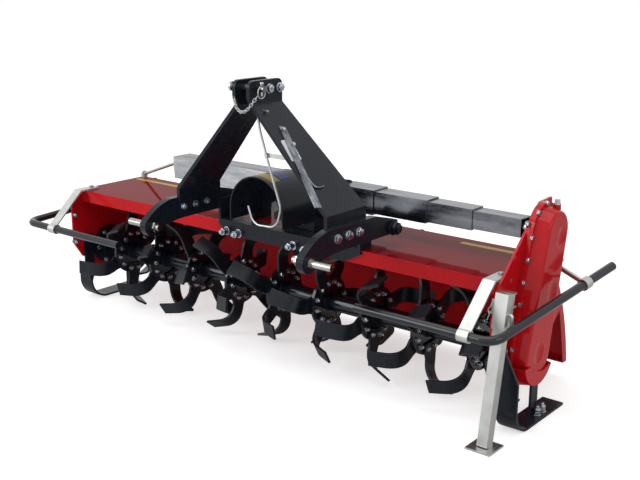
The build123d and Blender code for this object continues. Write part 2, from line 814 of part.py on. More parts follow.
# Gearbox with its drive shaft and covers
with BuildPart() as gearbox:
    with BuildSketch(Plane.YZ.offset(hitch_shift - gearbox_width / 2)) as box_side:
        with BuildLine():
            Polyline(
                (deck_front + gearbox_front, deck_height + 40),
                (deck_front + gearbox_front, gearbox_top),
                (deck_front + gearbox_depth, gearbox_top),
                (shaft_y - 4, shaft_height + housing_radius - 3),
                (shaft_y + housing_radius - 6, shaft_height),
                (shaft_y + housing_radius - 6, deck_height),
                (deck_front + 60, deck_height),
                (deck_front + 60, deck_height + 40),
                close=True,
            )
        make_face()
        fillet(box_side.vertices().group_by(Axis.Y)[-1], 18)
        with Locations((rod_y, rod_z)):
            Circle(rod_radius + seat_gap, mode=Mode.SUBTRACT)
    extrude(amount=gearbox_width)
    with BuildSketch(Plane.YZ.offset(hitch_shift - gearbox_width / 2 - 10)):
        with Locations((shaft_y, shaft_height)):
            Circle(housing_radius)
    extrude(amount=gearbox_width + 20)
    with BuildSketch(Plane.YZ.offset(hitch_shift - gearbox_width / 2 - 20)):
        with Locations((shaft_y, shaft_height)):
            Circle(drive_radius + seat_gap)
    extrude(amount=gearbox_width + 40, mode=Mode.SUBTRACT)
    with BuildSketch(Plane.XZ.offset(-(deck_front + gearbox_front))):
        with Locations((hitch_shift, shaft_height)):
            Circle(45)
    extrude(amount=16)
    with BuildSketch(Plane.XZ.offset(-(deck_front + gearbox_front) + 20)):
        with Locations((hitch_shift, shaft_height)):
            Circle(pto_radius + turn_gap)
    extrude(amount=-100, mode=Mode.SUBTRACT)
keep(gearbox, "gearbox")

with BuildPart() as pto:
    with BuildSketch(Plane.XZ.offset(-(deck_front - pto_front))):
        with Locations((hitch_shift, shaft_height)):
            Circle(pto_radius)
    extrude(amount=-(pto_front + gearbox_front + 70))
    with BuildSketch(Plane.XZ.offset(-(deck_front - pto_front))):
        with Locations((hitch_shift, shaft_height)):
            with PolarLocations(pto_radius, 6):
                Rectangle(5, 9)
    extrude(amount=-(pto_front - 10), mode=Mode.SUBTRACT)
keep(pto, "pto_shaft")

with BuildPart() as guard:
    with BuildSketch(Plane.XZ.offset(-(deck_front - 150))):
        with Locations((hitch_shift, shaft_height)):
            Circle(guard_radius)
        with Locations((hitch_shift, shaft_height)):
            Rectangle(2 * guard_radius, guard_skirt, align=(Align.CENTER, Align.MAX))
        with Locations((hitch_shift, shaft_height - guard_skirt)):
            Rectangle(300, 300, align=(Align.CENTER, Align.MAX), mode=Mode.SUBTRACT)
        with Locations((hitch_shift, shaft_height)):
            Circle(guard_radius - guard_sheet, mode=Mode.SUBTRACT)
            Rectangle(
                2 * (guard_radius - guard_sheet),
                guard_skirt + 1,
                align=(Align.CENTER, Align.MAX),
                mode=Mode.SUBTRACT,
            )
    extrude(amount=-(150 + gearbox_front - 4))
    with BuildSketch(Plane.XZ.offset(-(deck_front + gearbox_front - 4))):
        with Locations((hitch_shift, shaft_height)):
            Circle(guard_radius)
        with Locations((hitch_shift, shaft_height - 30)):
            Rectangle(300, 300, align=(Align.CENTER, Align.MAX), mode=Mode.SUBTRACT)
        with Locations((hitch_shift, shaft_height)):
            Circle(45, mode=Mode.SUBTRACT)
    extrude(amount=-4)
keep(guard, "pto_guard")

cover_left = -half_span + cover_inset
cover_last = half_span - cover_clear
cover_ends = [cover_last - step * cover_shown for step in (2, 1, 0)]
cover_ends = [cover_ends[0] - cover_first] + cover_ends


def cover(name, start, end, size):
    """A square sheet tube around the drive shaft."""
    with BuildPart() as tube:
        with BuildSketch(Plane.YZ.offset(start)):
            with Locations((shaft_y, shaft_height)):
                Rectangle(size, size)
                Rectangle(size - 2 * cover_sheet, size - 2 * cover_sheet, mode=Mode.SUBTRACT)
        extrude(amount=end - start)
    keep(tube, name)


cover("shaft_cover_left", cover_left, hitch_shift - gearbox_width / 2 - 10, cover_size)
starts = [hitch_shift + gearbox_width / 2 + 10] + [end - cover_lap for end in cover_ends[:-1]]
for step, (start, end) in enumerate(zip(starts, cover_ends)):
    cover(f"shaft_cover_right_{step + 1}", start, end, cover_size - step * cover_step)

with BuildPart() as drive_shaft:
    with BuildSketch(across(hitch_shift - 200, shaft_y, shaft_height)):
        Circle(drive_radius)
    extrude(amount=half_span + case_base / 2 - hitch_shift + 200)
keep(drive_shaft, "drive_shaft")

# Guard bars
bars = []
for side, name, turn, rear, flare, rise in (
    (-1, "guard_bar_left", left_bar_turn, left_bar_rear, left_bar_flare, left_bar_rise),
    (1, "guard_bar_right", right_bar_turn, right_bar_rear, right_bar_flare, right_bar_rise),
):
    turn_x = half_span + turn
    rear_x = half_span + flare
    rear_y = deck_front + rear
    rear_z = bar_z + rise
    with BuildPart() as bar:
        with BuildLine() as route:
            FilletPolyline(
                (side * bar_free_end, bar_y, bar_z),
                (side * turn_x, bar_y, bar_z),
                (side * rear_x, rear_y, rear_z),
                radius=bar_corner,
            )
        with BuildSketch(across(side * bar_free_end, bar_y, bar_z)):
            Circle(bar_radius)
        sweep()
    keep(bar, name)
    bars.append((Vector(side * turn_x, bar_y, bar_z), Vector(side * rear_x, rear_y, rear_z)))

# Parking leg: a bracket sleeve on the right plate and a tube that slides in it
leg_bracket = 8.0
leg_size = sleeve_size - 2 * (sleeve_wall + leg_slide_gap)
leg_x = half_span + leg_bracket + sleeve_size / 2
leg_top_y = deck_front - 33
lean = radians(leg_lean)
leg_frame = Plane(
    origin=(leg_x, leg_top_y, deck_height - 20),
    x_dir=(1, 0, 0),
    z_dir=(0, sin(lean), cos(lean)),
)
bracket_reach = 96.0
bracket_height = 44.0
bracket_rib = 18.0
leg_pin_radius = 5.0
pin_out = 12.0
pin_drop = 36.0
with BuildPart() as sleeve:
    with BuildSketch(leg_frame.offset(-sleeve_length)):
        Rectangle(sleeve_size, sleeve_size)
    extrude(amount=sleeve_length)
    with BuildSketch(Plane.YZ.offset(half_span)):
        with Locations((leg_top_y - 24, deck_height - 36)):
            Rectangle(bracket_reach, bracket_height, align=(Align.MIN, Align.MAX))
    extrude(amount=leg_bracket)
    with BuildSketch(Plane.YZ.offset(half_span)):
        with Locations((leg_top_y - 10, deck_height - 36)):
            Rectangle(bracket_reach - 14, 5, align=(Align.MIN, Align.MAX))
        with Locations((leg_top_y - 10, deck_height - 31 - bracket_height)):
            Rectangle(bracket_reach - 14, 5, align=(Align.MIN, Align.MAX))
    extrude(amount=leg_bracket + bracket_rib)
    with BuildSketch(leg_frame.offset(-sleeve_length - 1)):
        Rectangle(sleeve_size - 2 * sleeve_wall, sleeve_size - 2 * sleeve_wall)
    extrude(amount=sleeve_length + 2, mode=Mode.SUBTRACT)
    with BuildSketch(Plane(origin=leg_frame.origin, x_dir=(0, 1, 0), z_dir=(1, 0, 0))):
        with Locations((-58 * sin(lean), -58 * cos(lean))):
            Circle(leg_pin_radius + seat_gap)
    extrude(amount=sleeve_size, mode=Mode.SUBTRACT)
keep(sleeve, "leg_sleeve")

# Bent pin in the sleeve's outer wall
pin_inner = leg_x + sleeve_size / 2 - sleeve_wall
pin_y = leg_top_y - 58 * sin(lean)
pin_z = deck_height - 20 - 58 * cos(lean)
with BuildPart() as leg_pin:
    with BuildLine():
        FilletPolyline(
            (pin_inner, pin_y, pin_z),
            (pin_inner + pin_out, pin_y, pin_z),
            (pin_inner + pin_out, pin_y, pin_z - pin_drop),
            radius=6,
        )
    with BuildSketch(across(pin_inner, pin_y, pin_z)):
        Circle(leg_pin_radius)
    sweep()
keep(leg_pin, "leg_pin")

leg_length = (deck_height - 20) / cos(lean)
foot_y = leg_top_y - (deck_height - 20) * tan(lean)
with BuildPart() as leg:
    with BuildSketch(leg_frame.offset(-leg_length + foot_sheet)):
        Rectangle(leg_size, leg_size)
        Rectangle(leg_size - 2 * leg_wall, leg_size - 2 * leg_wall, mode=Mode.SUBTRACT)
    extrude(amount=leg_length - foot_sheet - 10)
    with BuildSketch(Plane.XY):
        with Locations((leg_x, foot_y)):
            Rectangle(foot_size, foot_size)
    extrude(amount=foot_sheet)
keep(leg, "leg_tube")

# Straps that carry the guard bars: bent flats in front, round struts behind
clamp_sheet = 5.0
clamp_width = 36.0
strap_foot = 58.0
for side, name in ((-1, "guard_strap_left"), (1, "guard_strap_right")):
    strap_x = side * (inner_half - strap_width / 2)
    with BuildPart() as strap:
        with BuildSketch(Plane.YZ.offset(strap_x - strap_width / 2)):
            with BuildLine():
                Polyline(
                    (deck_front + strap_foot, deck_height),
                    (deck_front - 24, deck_height),
                    (bar_y + 4, bar_z + bar_radius + 2),
                    (bar_y - 2, bar_z + bar_radius + 2),
                    (deck_front - 28, deck_height + strap_sheet),
                    (deck_front + strap_foot, deck_height + strap_sheet),
                    close=True,
                )
            make_face()
        extrude(amount=strap_width)
        with BuildSketch(across(strap_x - clamp_width / 2, bar_y, bar_z)):
            Circle(bar_radius + clamp_sheet)
        extrude(amount=clamp_width)
        with BuildSketch(across(strap_x - 30, bar_y, bar_z)):
            Circle(bar_radius + seat_gap)
        extrude(amount=60, mode=Mode.SUBTRACT)
    keep(strap, name)

strut_radius = 8.0
left_strut_share = 0.82
right_strut_share = 0.75
for side, name, bar_part, strut_share in (
    (-1, "guard_strut_left", bars[0], left_strut_share),
    (1, "guard_strut_right", bars[1], right_strut_share),
):
    start, end = bar_part
    grip = start + (end - start) * strut_share
    foot = Vector(side * (half_span + 12), deck_rear - 18, deck_height - 24)
    with BuildPart() as strut:
        with BuildSketch(Plane(origin=grip, z_dir=end - start).offset(-14)):
            Circle(bar_radius + clamp_sheet)
        extrude(amount=28)
        with BuildSketch(Plane(origin=foot, z_dir=grip - foot)):
            Circle(strut_radius)
        extrude(amount=(grip - foot).length)
        with BuildSketch(Plane.YZ.offset(side * half_span)):
            with Locations((foot.Y, foot.Z)):
                Circle(18)
        extrude(amount=side * 16)
        with BuildSketch(Plane(origin=grip, z_dir=end - start).offset(-60)):
            Circle(bar_radius + seat_gap)
        extrude(amount=120, mode=Mode.SUBTRACT)
    keep(strut, name)

# Hook that holds the power shaft, hung in the right mast plate, with its clip
hook_x = hitch_shift + mast_inner - 1
with BuildPart() as hook:
    with BuildLine():
        FilletPolyline(
            (hook_x + 46, hook_y, hook_hole_z),
            (hook_x, hook_y, hook_hole_z),
            (hook_x + 12, hook_y, hook_hole_z - 62),
            (hook_x + 42, hook_y, hook_hole_z - 150),
            (hook_x + 94, hook_y, hook_hole_z - 294),
            (hook_x + 76, hook_y, hook_hole_z - 358),
            (hook_x - 20, hook_y, hook_hole_z - 362),
            (hook_x - 41, hook_y, hook_hole_z - 305),
            radius=(7, 40, 90, 34, 42, 38),
        )
    with BuildSketch(across(hook_x + 46, hook_y, hook_hole_z)):
        Circle(hook_radius)
    sweep()
keep(hook, "shaft_hook")

# Spring strip and its rod on the outer face of the right mast plate
slope = (foot_inner - mast_inner) / (ear_bottom - foot_bend)
strip_z = ear_bottom - 63
strip_x = hitch_shift + mast_inner + mast_sheet + (ear_bottom + 4 - strip_z) * slope
fall = 1 / sqrt(1 + slope**2)
strip_plane = Plane(
    origin=(strip_x, deck_front - 135, strip_z),
    x_dir=(slope * fall, 0, -fall),
    z_dir=(fall, 0, slope * fall),
)
strip_length = 294.0
strip_width = 26.0
strip_sheet = 4.0
strip_turn = 13.0
with BuildPart() as strip:
    with BuildSketch(strip_plane):
        with Locations(Location((0, 0, 0), (0, 0, -strip_turn))):
            Rectangle(strip_length, strip_width, align=(Align.MIN, Align.CENTER))
    extrude(amount=strip_sheet)
keep(strip, "hook_strip")

# Clip that parks the hook, on the right mast plate's front edge
clip_z = hook_hole_z - 136
clip_share = (136 - 62) / (150 - 62)
clip_x = hook_x + 12 + 30 * clip_share
clip_plane = Plane(
    origin=(clip_x, hook_y, clip_z),
    x_dir=(0, 1, 0),
    z_dir=Vector(30, 0, -88).normalized(),
)
clip_height = 16.0
clip_sheet = 2.0
plate_at_clip = hitch_shift + mast_inner + (ear_bottom - clip_z) * slope
clip_length = plate_at_clip + mast_sheet / 2 - clip_x
with BuildPart() as hook_clip:
    with BuildSketch(clip_plane.offset(-clip_height / 2)):
        Circle(hook_radius + 0.3 + clip_sheet)
        Circle(hook_radius + 0.3, mode=Mode.SUBTRACT)
    extrude(amount=clip_height)
    with BuildSketch(Plane.XZ.offset(-hook_y - hook_radius - 0.3)):
        with Locations((clip_x, clip_z)):
            Rectangle(clip_length, clip_height - 2, align=(Align.MIN, Align.CENTER))
    extrude(amount=-clip_sheet)
    add(mast.part, mode=Mode.SUBTRACT)
keep(hook_clip, "hook_clip")

# Brace from the deck's rear left corner to the left cover's end
brace_radius = 6.0
brace_foot = Vector(-half_span + 20, deck_rear - 12, deck_height + 14)
brace_head = Vector(cover_left - 4, shaft_y - cover_size / 2 + 16, shaft_height + 14)
brace_line = brace_head - brace_foot
with BuildPart() as brace:
    with BuildSketch(Plane(origin=brace_foot, z_dir=brace_line)):
        Circle(brace_radius)
    extrude(amount=brace_line.length + 20)
    with BuildSketch(Plane.YZ.offset(cover_left)):
        Rectangle(600, 3000)
    extrude(amount=100, mode=Mode.SUBTRACT)
    with BuildSketch(Plane.YZ.offset(cover_left)):
        with Locations((shaft_y - cover_size / 2, shaft_height + cover_size / 2)):
            Rectangle(cover_size * 0.6, cover_size * 0.7, align=(Align.MIN, Align.MAX))
    extrude(amount=-4)
    with BuildSketch(Plane.XY.offset(deck_height)):
        with Locations((brace_foot.X, brace_foot.Y)):
            Circle(13)
    extrude(amount=20)
keep(brace, "cover_brace")
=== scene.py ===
# %% [markdown]
# # A rotary tiller, dressed for its picture
#
# A rotary tiller hangs on a tractor's three-point hitch and works the soil with bent tines on
# a driven rotor. Its steel parts come from the CAD model and already stand at their real size,
# in metres. This lesson gives them paint, zinc and bright steel, adds the bolts, nuts, pins
# and chain that hold the real machine together, and lights it as a product photo would be.
#
# X runs across the machine towards the chain case, Y towards the rear and Z up. The floor is
# at z = 0, and x = 0 is half-way between the side plates.

# %% Load the frame and keep its size
import json
import math

import bmesh
import bpy
from mathutils import Matrix, Vector


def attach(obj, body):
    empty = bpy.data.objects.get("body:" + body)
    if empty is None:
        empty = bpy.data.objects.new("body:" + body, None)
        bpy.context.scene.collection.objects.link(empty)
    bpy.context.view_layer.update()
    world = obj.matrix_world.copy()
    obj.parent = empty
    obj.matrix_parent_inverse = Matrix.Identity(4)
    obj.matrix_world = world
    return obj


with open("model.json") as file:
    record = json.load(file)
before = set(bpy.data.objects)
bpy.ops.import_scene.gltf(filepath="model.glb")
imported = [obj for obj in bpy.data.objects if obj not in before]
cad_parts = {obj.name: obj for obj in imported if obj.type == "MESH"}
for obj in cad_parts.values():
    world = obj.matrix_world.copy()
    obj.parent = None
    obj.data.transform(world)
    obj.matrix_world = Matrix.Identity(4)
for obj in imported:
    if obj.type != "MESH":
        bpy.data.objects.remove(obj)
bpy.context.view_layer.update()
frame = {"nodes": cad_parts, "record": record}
nodes = frame["nodes"]
bpy.ops.object.select_all(action="DESELECT")

# %% [markdown]
# ## The camera
#
# The photograph looks at the tractor side of the tiller from the chain-case end, a little from
# above. A camera can be set by eye in the viewport until it looks right. Here its place was
# worked out from the two lower hitch pins, the deck's corners and the rotor's flanges, so the
# lens and the tilt are numbers and not a choice by eye.

# %% Camera
photo_width = 640.0
focal_pixels = 1015.0
sensor_width = 36.0
turned_left = 38.855
tipped_down = 15.27
rolled = 0.25
camera_data = bpy.data.cameras.new("photo_camera")
camera = bpy.data.objects.new("photo_camera", camera_data)
bpy.context.scene.collection.objects.link(camera)
camera_data.sensor_width = sensor_width
camera_data.lens = focal_pixels / photo_width * sensor_width
camera_data.clip_end = 60.0
camera.location = (2.2405, -2.524, 1.320)
heading = Matrix.Rotation(math.radians(turned_left), 4, "Z")
tilt = Matrix.Rotation(math.radians(90 - tipped_down), 4, "X")
roll = Matrix.Rotation(math.radians(rolled), 4, "Z")
camera.rotation_euler = (heading @ tilt @ roll).to_euler()
bpy.context.scene.camera = camera
bpy.context.scene.view_settings.view_transform = "Standard"
print(f"lens {camera_data.lens:.1f} mm")

# %% [markdown]
# ## Floor, light and background
#
# The machine was photographed on white. A white backdrop can be lit until it is white, but
# that light would also wash out the paint. Here a wide pale floor catches a soft shadow and
# glows a little to the camera alone, and the world is white only where the camera or a
# reflection sees it. The light itself is level: one large soft lamp above, one in front and
# one at the side, so that a colour renders about as it is written.


# %% A node with its fields filled in
def add_node(tree, kind, **values):
    """A node with some of its settings and sockets filled in, where _ stands for a space."""
    node = tree.nodes.new(kind)
    for key, value in values.items():
        if hasattr(node, key):
            setattr(node, key, value)
        else:
            node.inputs[key.replace("_", " ")].default_value = value
    return node


# %% Floor: white to the camera, with the shadow kept
bpy.ops.mesh.primitive_plane_add(size=60, location=(0, 0, 0))
floor = bpy.context.object
floor.name = "studio_floor"
floor_paint = bpy.data.materials.new("floor_paint")
floor_paint.use_nodes = True
tree = floor_paint.node_tree
floor_shader = tree.nodes["Principled BSDF"]
floor_shader.inputs["Base Color"].default_value = (0.86, 0.86, 0.86, 1)
floor_shader.inputs["Roughness"].default_value = 0.9
floor_shader.inputs["Specular IOR Level"].default_value = 0.1
floor_shader.inputs["Emission Color"].default_value = (1, 1, 1, 1)
path = add_node(tree, "ShaderNodeLightPath")
glow = add_node(tree, "ShaderNodeMath", operation="MULTIPLY")
floor_glow = 0.55
glow.inputs[1].default_value = floor_glow
tree.links.new(path.outputs["Is Camera Ray"], glow.inputs[0])
tree.links.new(glow.outputs["Value"], floor_shader.inputs["Emission Strength"])
floor.data.materials.append(floor_paint)
print("floor", floor.dimensions.x, "m wide")

# %% World: white where the camera or a reflection sees it
world = bpy.data.worlds.new("studio_world")
bpy.context.scene.world = world
world.use_nodes = True
tree = world.node_tree
tree.nodes.clear()
output = add_node(tree, "ShaderNodeOutputWorld")
seen = add_node(tree, "ShaderNodeBackground", Color=(1, 1, 1, 1), Strength=1.0)
lighting = add_node(tree, "ShaderNodeBackground", Color=(1, 1, 1, 1), Strength=0.50)
path = add_node(tree, "ShaderNodeLightPath")
either = add_node(tree, "ShaderNodeMath", operation="MAXIMUM")
through = add_node(tree, "ShaderNodeMath", operation="MAXIMUM")
mix = add_node(tree, "ShaderNodeMixShader")
tree.links.new(path.outputs["Is Camera Ray"], either.inputs[0])
tree.links.new(path.outputs["Is Glossy Ray"], either.inputs[1])
tree.links.new(either.outputs["Value"], through.inputs[0])
tree.links.new(path.outputs["Is Transmission Ray"], through.inputs[1])
tree.links.new(through.outputs["Value"], mix.inputs["Fac"])
tree.links.new(lighting.outputs["Background"], mix.inputs[1])
tree.links.new(seen.outputs["Background"], mix.inputs[2])
tree.links.new(mix.outputs["Shader"], output.inputs["Surface"])
print("world with", len(tree.nodes), "nodes")


# %% Lamps
def softbox(name, place, aim, size, power):
    """A square lamp at a place, turned to face a point."""
    data = bpy.data.lights.new(name, "AREA")
    data.shape = "SQUARE"
    data.size = size
    data.energy = power
    lamp = bpy.data.objects.new(name, data)
    bpy.context.scene.collection.objects.link(lamp)
    lamp.location = place
    lamp.rotation_euler = (Vector(aim) - Vector(place)).to_track_quat("-Z", "Y").to_euler()
    print(f"{name}: {power} W over {size} m")


softbox("top_lamp", place=(0.2, -0.6, 3.6), aim=(0, 0, 0.3), size=3.0, power=42)
softbox("front_lamp", place=(-2.4, -3.6, 2.2), aim=(0, 0, 0.4), size=2.8, power=88)
softbox("side_lamp", place=(4.0, -0.6, 2.0), aim=(0.3, 0, 0.4), size=1.8, power=18)

# %% [markdown]
# ## Effects that many finishes share
#
# Real paint is never one flat colour. It is a little uneven, it has a faint orange-peel skin, it is
# scuffed along its edges and dust lies on what faces up. Its edges are also given a painted
# highlight, and on some finishes the flat upper faces get a painted shade. Each material could have
# its own nodes for that. A node group is built once instead, with named inputs, and every paint and
# plating then uses it with its own values.


# %% A group with named inputs and one output
def effect_group(name, inputs, output, kind="NodeSocketFloat"):
    """A shader node group with number inputs and their defaults, and one named output."""
    group = bpy.data.node_groups.new(name, "ShaderNodeTree")
    for socket, value in inputs.items():
        made = group.interface.new_socket(socket, in_out="INPUT", socket_type="NodeSocketFloat")
        made.default_value = value
    group.interface.new_socket(output, in_out="OUTPUT", socket_type=kind)
    print("group", name, "with", ", ".join(inputs))
    return group, add_node(group, "NodeGroupInput"), add_node(group, "NodeGroupOutput")


# %% [markdown]
# ### Mottle
#
# Sprayed paint and plated steel vary a little in depth and gloss, slowly over a hand's width
# and quickly over a few millimetres. A painted image could show that, but it would need to be
# unwrapped. Two noises in Object coordinates, mixed, do it on any shape.

# %% Mottle: slow and fast unevenness in one value
mottle, start, end = effect_group("mottle", {"Coarse": 6.0, "Fine": 60.0}, "Value")
place = add_node(mottle, "ShaderNodeTexCoord")
slow = add_node(mottle, "ShaderNodeTexNoise", Detail=3.0, Roughness=0.55)
fast = add_node(mottle, "ShaderNodeTexNoise", Detail=5.0, Roughness=0.65)
both = add_node(mottle, "ShaderNodeMix", data_type="FLOAT", Factor=0.4)
mottle.links.new(place.outputs["Object"], slow.inputs["Vector"])
mottle.links.new(place.outputs["Object"], fast.inputs["Vector"])
mottle.links.new(start.outputs["Coarse"], slow.inputs["Scale"])
mottle.links.new(start.outputs["Fine"], fast.inputs["Scale"])
mottle.links.new(slow.outputs["Fac"], both.inputs["A"])
mottle.links.new(fast.outputs["Fac"], both.inputs["B"])
mottle.links.new(both.outputs["Result"], end.inputs["Value"])

# %% [markdown]
# ### Zinc bloom
#
# Hot-dip galvanised sheet shows crystal flakes and long run marks. A Voronoi pattern gives
# each flake a value of its own, and a noise stretched along X gives the runs. One input sets
# how much of each is seen.

# %% Zinc bloom: flakes and run marks in one value
bloom, start, end = effect_group("zinc_bloom", {"Flake Scale": 90.0, "Streaks": 0.5}, "Value")
place = add_node(bloom, "ShaderNodeTexCoord")
flakes = add_node(bloom, "ShaderNodeTexVoronoi")
cell = add_node(bloom, "ShaderNodeSeparateColor")
stretch = add_node(bloom, "ShaderNodeMapping", Scale=(3.0, 26, 26))
runs = add_node(bloom, "ShaderNodeTexNoise", Scale=1.0, Detail=6.0, Roughness=0.62)
harder = add_node(bloom, "ShaderNodeMapRange", From_Min=0.33, From_Max=0.68)
blend = add_node(bloom, "ShaderNodeMix", data_type="FLOAT")
bloom.links.new(place.outputs["Object"], flakes.inputs["Vector"])
bloom.links.new(start.outputs["Flake Scale"], flakes.inputs["Scale"])
bloom.links.new(flakes.outputs["Color"], cell.inputs["Color"])
bloom.links.new(place.outputs["Object"], stretch.inputs["Vector"])
bloom.links.new(stretch.outputs["Vector"], runs.inputs["Vector"])
bloom.links.new(runs.outputs["Fac"], harder.inputs["Value"])
bloom.links.new(start.outputs["Streaks"], blend.inputs["Factor"])
bloom.links.new(cell.outputs["Red"], blend.inputs["A"])
bloom.links.new(harder.outputs["Result"], blend.inputs["B"])
bloom.links.new(blend.outputs["Result"], end.inputs["Value"])

# %% [markdown]
# ### Dust, and scuffed edges with a painted highlight
#
# Dust settles where a face looks up, and paint wears where two faces meet. Both could be painted on
# by hand. The dust's mask comes from the normal's Z. The edges' mask compares the normal with the
# one that a Bevel node would round: where they differ there is an edge. The colour laid there is
# lighter than the paint, so it is partly scuffing and partly a painted highlight. Each mask is then
# broken up by a noise, so that it never looks like a drawn line.


# %% A mask broken up by a noise
def broken_mask(group, mask, noise, amount, target):
    """Send a mask, times a noise, times an amount, to the group's output."""
    times = add_node(group, "ShaderNodeMath", operation="MULTIPLY")
    share = add_node(group, "ShaderNodeMath", operation="MULTIPLY", use_clamp=True)
    group.links.new(mask, times.inputs[0])
    group.links.new(noise, times.inputs[1])
    group.links.new(times.outputs["Value"], share.inputs[0])
    group.links.new(amount, share.inputs[1])
    group.links.new(share.outputs["Value"], target)


# %% Dust: a mask for what faces up
dusting, start, end = effect_group("dusting", {"Amount": 0.2, "Scale": 18.0}, "Mask")
place = add_node(dusting, "ShaderNodeTexCoord")
surface = add_node(dusting, "ShaderNodeNewGeometry")
split = add_node(dusting, "ShaderNodeSeparateXYZ")
upward = add_node(dusting, "ShaderNodeMapRange", From_Min=0.3, From_Max=1.0)
specks = add_node(dusting, "ShaderNodeTexNoise", Detail=6.0, Roughness=0.6)
dusting.links.new(place.outputs["Object"], specks.inputs["Vector"])
dusting.links.new(start.outputs["Scale"], specks.inputs["Scale"])
dusting.links.new(surface.outputs["Normal"], split.inputs["Vector"])
dusting.links.new(split.outputs["Z"], upward.inputs["Value"])
broken_mask(
    dusting, upward.outputs["Result"], specks.outputs["Fac"], start.outputs["Amount"],
    end.inputs["Mask"],
)

# %% Scuffed edges: a mask where two faces meet, for scuffing and a painted highlight
worn_and_highlit, start, end = effect_group("edges_worn_and_highlit", {"Width": 0.002, "Amount": 0.6}, "Mask")
place = add_node(worn_and_highlit, "ShaderNodeTexCoord")
surface = add_node(worn_and_highlit, "ShaderNodeNewGeometry")
rounded = add_node(worn_and_highlit, "ShaderNodeBevel", samples=4)
dot = add_node(worn_and_highlit, "ShaderNodeVectorMath", operation="DOT_PRODUCT")
edge = add_node(worn_and_highlit, "ShaderNodeMapRange", From_Min=0.995, From_Max=0.90)
chips = add_node(worn_and_highlit, "ShaderNodeTexNoise", Scale=45.0, Detail=5.0, Roughness=0.6)
worn_and_highlit.links.new(start.outputs["Width"], rounded.inputs["Radius"])
worn_and_highlit.links.new(rounded.outputs["Normal"], dot.inputs[0])
worn_and_highlit.links.new(surface.outputs["Normal"], dot.inputs[1])
worn_and_highlit.links.new(dot.outputs["Value"], edge.inputs["Value"])
worn_and_highlit.links.new(place.outputs["Object"], chips.inputs["Vector"])
broken_mask(
    worn_and_highlit, edge.outputs["Result"], chips.outputs["Fac"], start.outputs["Amount"],
    end.inputs["Mask"],
)

# %% [markdown]
# ### Painted shade on upper faces, and orange peel
#
# In the photograph the deck and the shaft covers are darker on top than in front. Lamps could be
# hidden from their tops, but level light is better for every other view. A mask of the flat upper
# faces lets a finish have a darker colour painted there instead, a painted shade. Sprayed paint
# dries with a fine skin like an orange's peel. It could be sculpted, but at this size a noise that
# only bends the light is enough.

# %% Upper faces: a mask for flat faces that look straight up, where shade is painted
upper_face_shade, start, end = effect_group("upper_face_shade", {"Start": 0.85, "Full": 0.99}, "Mask")
surface = add_node(upper_face_shade, "ShaderNodeNewGeometry")
split = add_node(upper_face_shade, "ShaderNodeSeparateXYZ")
upward = add_node(upper_face_shade, "ShaderNodeMapRange")
upper_face_shade.links.new(surface.outputs["True Normal"], split.inputs["Vector"])
upper_face_shade.links.new(split.outputs["Z"], upward.inputs["Value"])
upper_face_shade.links.new(start.outputs["Start"], upward.inputs["From Min"])
upper_face_shade.links.new(start.outputs["Full"], upward.inputs["From Max"])
upper_face_shade.links.new(upward.outputs["Result"], end.inputs["Mask"])

# %% Orange peel: a normal with a fine skin
orange_peel, start, end = effect_group(
    "orange_peel", {"Scale": 300.0, "Strength": 0.1}, "Normal", kind="NodeSocketVector"
)
place = add_node(orange_peel, "ShaderNodeTexCoord")
skin = add_node(orange_peel, "ShaderNodeTexNoise", Detail=2.0)
bump = add_node(orange_peel, "ShaderNodeBump", Distance=0.001)
orange_peel.links.new(place.outputs["Object"], skin.inputs["Vector"])
orange_peel.links.new(start.outputs["Scale"], skin.inputs["Scale"])
orange_peel.links.new(start.outputs["Strength"], bump.inputs["Strength"])
orange_peel.links.new(skin.outputs["Fac"], bump.inputs["Height"])
orange_peel.links.new(bump.outputs["Normal"], end.inputs["Normal"])

# %% [markdown]
# ## A finish from its parts
#
# Every finish of this machine is made in the same steps. Its colour runs between a deep and a full
# tone, and other colours are laid over it by the masks: a painted shade on upper faces, scuffs with
# a painted highlight on edges, and dust. Its gloss varies with the same unevenness, and its skin
# bends the light. One function does these steps, so that each material below is only a short list of
# its own values.


# %% Helpers for values and colours
def spread(tree, value, low, high, **ends):
    """A value stretched so that low to high runs from 0 to 1, or between other ends."""
    node = add_node(tree, "ShaderNodeMapRange", From_Min=low, From_Max=high, **ends)
    tree.links.new(value, node.inputs["Value"])
    return node.outputs["Result"]


def lay_over(tree, below, mask, colour):
    """A colour laid over what is below it, as far as a mask allows."""
    layer = add_node(tree, "ShaderNodeMix", data_type="RGBA", B=(*colour, 1))
    tree.links.new(mask, layer.inputs["Factor"])
    tree.links.new(below, layer.inputs["A"])
    return layer.outputs["Result"]


def effect(tree, group, output, **values):
    """One output of an effect group, placed in a material with its own values."""
    return add_node(tree, "ShaderNodeGroup", node_tree=group, **values).outputs[output]


# %% The uneven value and the layers of colour
dust_colour = (0.30, 0.28, 0.26)


def uneven_value(tree, mottled, flaked):
    """The unevenness of a finish, with how far it is stretched for the colour."""
    if flaked:
        value = effect(tree, bloom, "Value", Flake_Scale=flaked[0], Streaks=flaked[1])
        return value, spread(tree, value, 0.1, 0.9)
    value = effect(tree, mottle, "Value", Coarse=mottled[0], Fine=mottled[1])
    return value, spread(tree, value, 0.35, 0.65)


